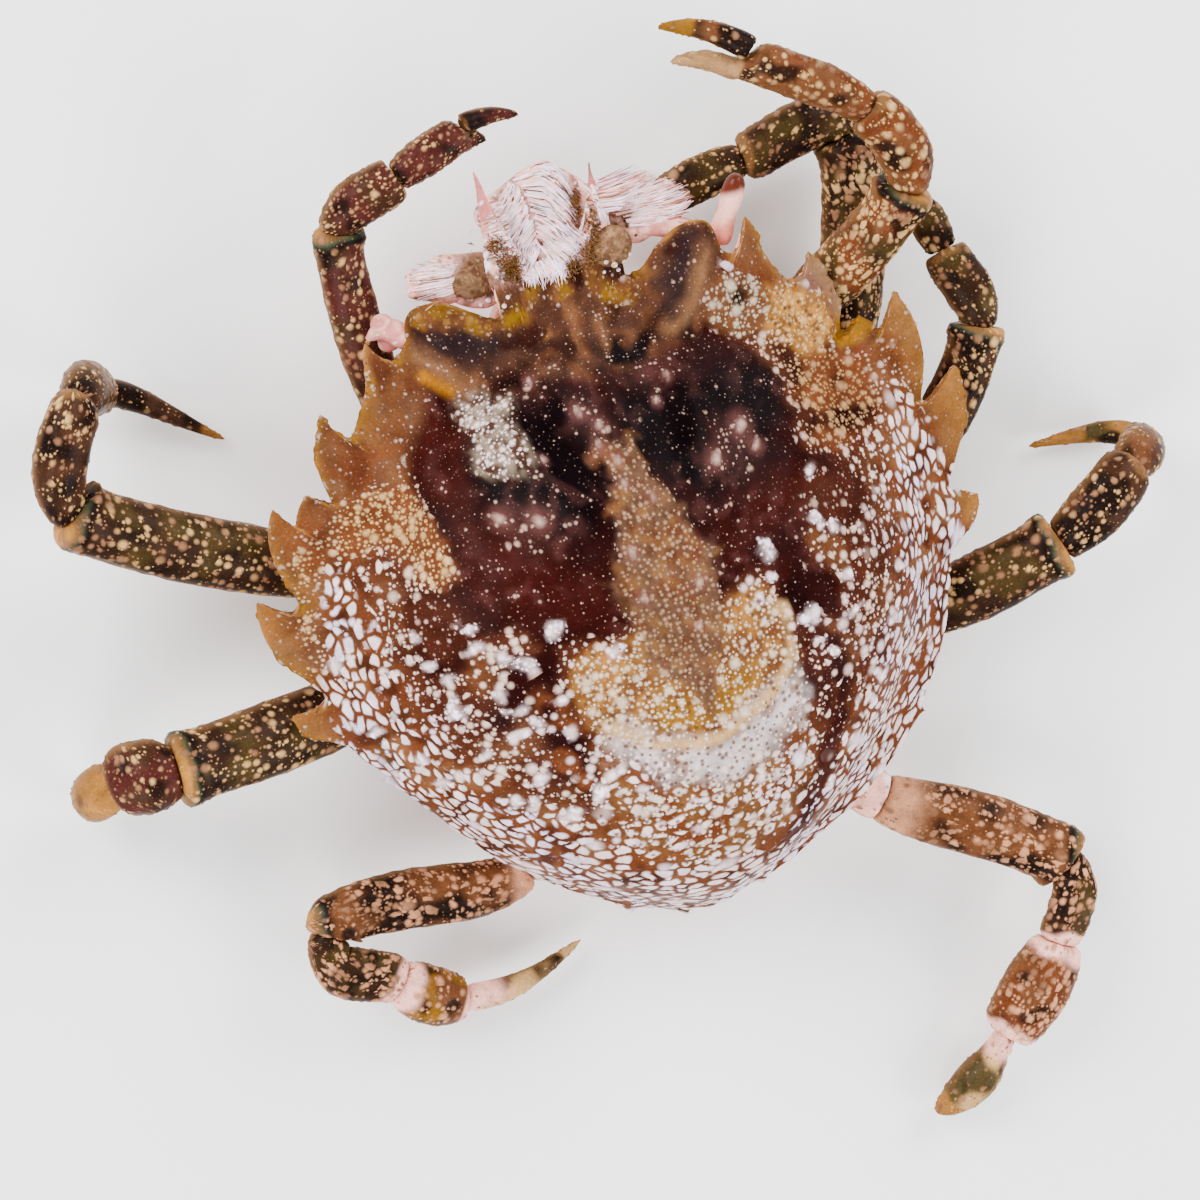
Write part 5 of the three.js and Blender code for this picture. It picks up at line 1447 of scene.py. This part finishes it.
# %% [markdown]
# ## The finish of hair
# A hair keeps the colour that was drawn for it, and faint clouds darken whole locks. It shines a little.
# %% Hair finish
hair_finish = bpy.data.materials.new("hair_finish")
hair_finish.use_nodes = True
web = Web(hair_finish.node_tree)
hair_shader = hair_finish.node_tree.nodes["Principled BSDF"]
hair_ground = web.add("ShaderNodeAttribute", attribute_name="ground").outputs["Color"]
hair_place = web.scaled(web.add("ShaderNodeTexCoord").outputs["Object"], 1 / MM)
hair_shades = web.maths("MULTIPLY_ADD", web.noise(hair_place, 0.5, 2.0), 0.9, 0.55)
web.tree.links.new(web.scaled(hair_ground, hair_shades), hair_shader.inputs["Base Color"])
hair_shader.inputs["Roughness"].default_value = 0.45
hair_shader.inputs["Specular IOR Level"].default_value = 0.12
print("hair roughness:", round(hair_shader.inputs["Roughness"].default_value, 2))

# %% [markdown]
# ## The patches of hair
# Each patch takes its guides, the part of a guide that one hair covers, how far it arches up and how much
# it strays. Most hair is white, the fringes are pink, and short brown bristles stand between the white
# locks. A few dark hairs among the white ones draw thin dark lines: partly brown hair tips, and partly
# painted shade in the gaps between locks.
# %% Growing the hair
WHITE_HAIR = [SNOW, SNOW, WHITE, SNOW, WHITE, PALE_PINK]
PINK_HAIR = [PALE_PINK, WHITE, PALE_PINK, SNOW, WHITE, PINK, SNOW, LEG_SPOT]
BROWN_HAIR = [VELVET, RIDGE_TAN, OLIVE_BROWN, GOLD]
DARK_AND_SHADE_HAIR = [HAIR_LINE, ROSY, RUST]


def combed(count, guides, part, arch_mm, spread_mm):
    """This many hairs along the guides."""
    return [hair_along(guides, part, arch_mm, spread_mm) for _ in range(count)]


hairs("right_comb", combed(420, RIGHT_COMB, 0.5, 0.12, 0.06), 1.7, WHITE_HAIR)
hairs("left_comb", combed(330, LEFT_COMB, 0.6, 0.12, 0.06), 1.3, WHITE_HAIR)
# Dark hairs: partly brown hair tips, partly painted shade lines between the white locks.
dark_and_shade_lines = combed(70, RIGHT_COMB, 0.4, 0.17, 0.05) + combed(30, LEFT_COMB, 0.4, 0.16, 0.05)
hairs("comb_dark_and_shade_lines", dark_and_shade_lines, 0.6, DARK_AND_SHADE_HAIR)
hairs("middle_comb", combed(200, MIDDLE_COMB, 0.6, 0.08, 0.10), 1.3, WHITE_HAIR)
hairs("left_wedge_strands", combed(190, LEFT_WEDGE, 0.7, 0.08, 0.10), 1.1, PINK_HAIR)
hairs("right_fan_strands", combed(640, RIGHT_FAN, 0.55, 0.12, 0.12), 1.2, PINK_HAIR)
hairs("left_fringe_strands", combed(170, LEFT_FRINGE, 0.75, 0.06, 0.08), 0.9, PINK_HAIR)
hairs("base_strands", combed(170, BASE_ROW, 0.5, 0.05, 0.12), 1.2, WHITE_HAIR)
tufts = [bristle(dice.choice(TUFTS), 0.3, 0.12) for _ in range(1000)]
hairs("brown_tufts", tufts, 0.8, BROWN_HAIR)

# %% [markdown]
# ## Soft tissue beside the snout
# Pink skin joins each eye and the left feeler to the shell. It is drawn as a thick bent line with round
# ends, which is how such a fold of skin lies.
# %% Folds of skin
FOLD_STEPS = 8
FOLD_ROUNDING = 5


def fold(name, path, radii, colours):
    """A thick bent line of skin along these places, in mm, with a radius at each of them."""
    curve = empty_curve(name)
    spline = draw_line(curve, "NURBS", path, radii)
    spline.use_endpoint_u = True
    spline.order_u = 3
    spline.resolution_u = FOLD_STEPS
    piece = thick_mesh(curve, 1, FOLD_ROUNDING)
    skins[name] = piece
    ground, tint, wash = colours
    paint_plate(name, ground, tint, dict(grains=0.15, specks=0.4), eye_skin, [(cloudy(0.5, 13), wash)])
    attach(piece, "root")


RIGHT_EYE_PATH = [
    (2.9, 13, 5.5), (3.8, 13, 5.6), (4.7, 12.8, 5.6), (5.5, 12.3, 5.5), (6.2, 11.9, 5.4), (6.7, 11.9, 5.3)]
LEFT_EYE_PATH = [
    (-7.7, 12, 5.5), (-7.2, 12.3, 5.7), (-6.7, 12.1, 5.8), (-6.3, 11.6, 5.8), (-6.1, 11.2, 5.6)]
LEFT_FEELER_PATH = [
    (-4.4, 12.8, 5.3), (-3.8, 12.5, 5.4), (-3.1, 12.2, 5.4), (-2.5, 12.1, 5.4), (-2, 12.3, 5.4)]
fold("right_eye_fold", RIGHT_EYE_PATH, [0.05, 0.36, 0.44, 0.5, 0.52, 0.2], (PALE_PINK, WHITE, PINK))
fold("left_eye_fold", LEFT_EYE_PATH, [0.1, 0.42, 0.5, 0.46, 0.2], (PINK, WHITE, PALE_PINK))
fold("left_feeler_fold", LEFT_FEELER_PATH, [0.05, 0.3, 0.4, 0.4, 0.1], (PALE_PINK, WHITE, HAIR_LINE))
print("folds of skin: 3, each with this many steps between its places:", FOLD_STEPS)

# %% [markdown]
# ## Velvet cushions
# The root of each feeler is a round lump, covered with brown felt. A ball is flattened and set on the skin,
# at the height where a ray from above meets it.
# %% Cushions
CUSHION_LIFT = 0.05


def cushion(name, place, radius, sides):
    """A flattened ball of brown velvet at this place, in mm."""
    bpy.ops.object.select_all(action="DESELECT")
    x, y = place
    spot = Vector((x, y, height_on(snout_floor, x, y, SNOUT_LEVEL) + CUSHION_LIFT)) * MM
    bpy.ops.mesh.primitive_uv_sphere_add(segments=32, ring_count=16, radius=radius * MM, location=spot)
    bpy.ops.transform.resize(value=sides)
    bpy.ops.object.transform_apply(location=True, rotation=True, scale=True)
    bpy.ops.object.shade_smooth()
    piece = bpy.context.object
    piece.name = name
    skins[name] = piece
    paint_plate(name, VELVET, RIDGE_TAN, dict(grains=0.55, specks=0.9, pits=0.2), velvet_skin,
               [(cloudy(0.35, 7), VELVET_DARK)])
    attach(piece, "root")
    print(name, "width in mm:", round(piece.dimensions.x / MM, 2))


cushion("right_velvet_cushion", (2.1, 12.9), 0.85, (1.0, 0.95, 0.45))
cushion("left_velvet_cushion", (-3.05, 12.95), 0.9, (1.15, 0.7, 0.4))

# %% [markdown]
# ## White beads beside the snout
# The beads are small balls of a few hundred faces, each set half into the skin under it and joined in one
# piece.
# %% White beads on the skin
BEADS = [
    ((-2.8, 12.1), 0.24), ((-2.5, 11.9), 0.20), ((-3.1, 12), 0.18), ((-2.3, 12.2), 0.17),
    ((-3.4, 12.3), 0.15), ((2, 12.2), 0.26), ((2.4, 12.2), 0.19), ((1.7, 12.4), 0.18), ((2.2, 11.9), 0.17),
    ((1.6, 12), 0.14), ((2.7, 12.1), 0.14), ((1.3, 12.6), 0.14), ((0.6, 12.8), 0.13), ((2.7, 12.4), 0.13)]
bead_floor = floor_of("carapace", "left_feeler_fold", "right_velvet_cushion")
BEAD_SHARE = 0.5
BEAD_LEVEL = 5.5
grown = []
for (x, y), radius in BEADS:
    spot = [c * MM for c in (x, y, height_on(bead_floor, x, y, BEAD_LEVEL))]
    bpy.ops.mesh.primitive_ico_sphere_add(subdivisions=3, radius=BEAD_SHARE * radius * MM, location=spot)
    bpy.ops.object.shade_smooth()
    grown.append(bpy.context.object)
select_only(*grown)
bpy.ops.object.join()
bpy.ops.object.transform_apply(location=True, rotation=True, scale=True)
beads = bpy.context.object
beads.name = "snout_beads"
skins["snout_beads"] = beads
paint_plate("snout_beads", WHITE, SNOW, dict(grains=0.3), eye_skin, [(cloudy(0.3, 17), CREAM)])
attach(beads, "root")
print("beads:", len(BEADS), "faces:", len(beads.data.polygons))
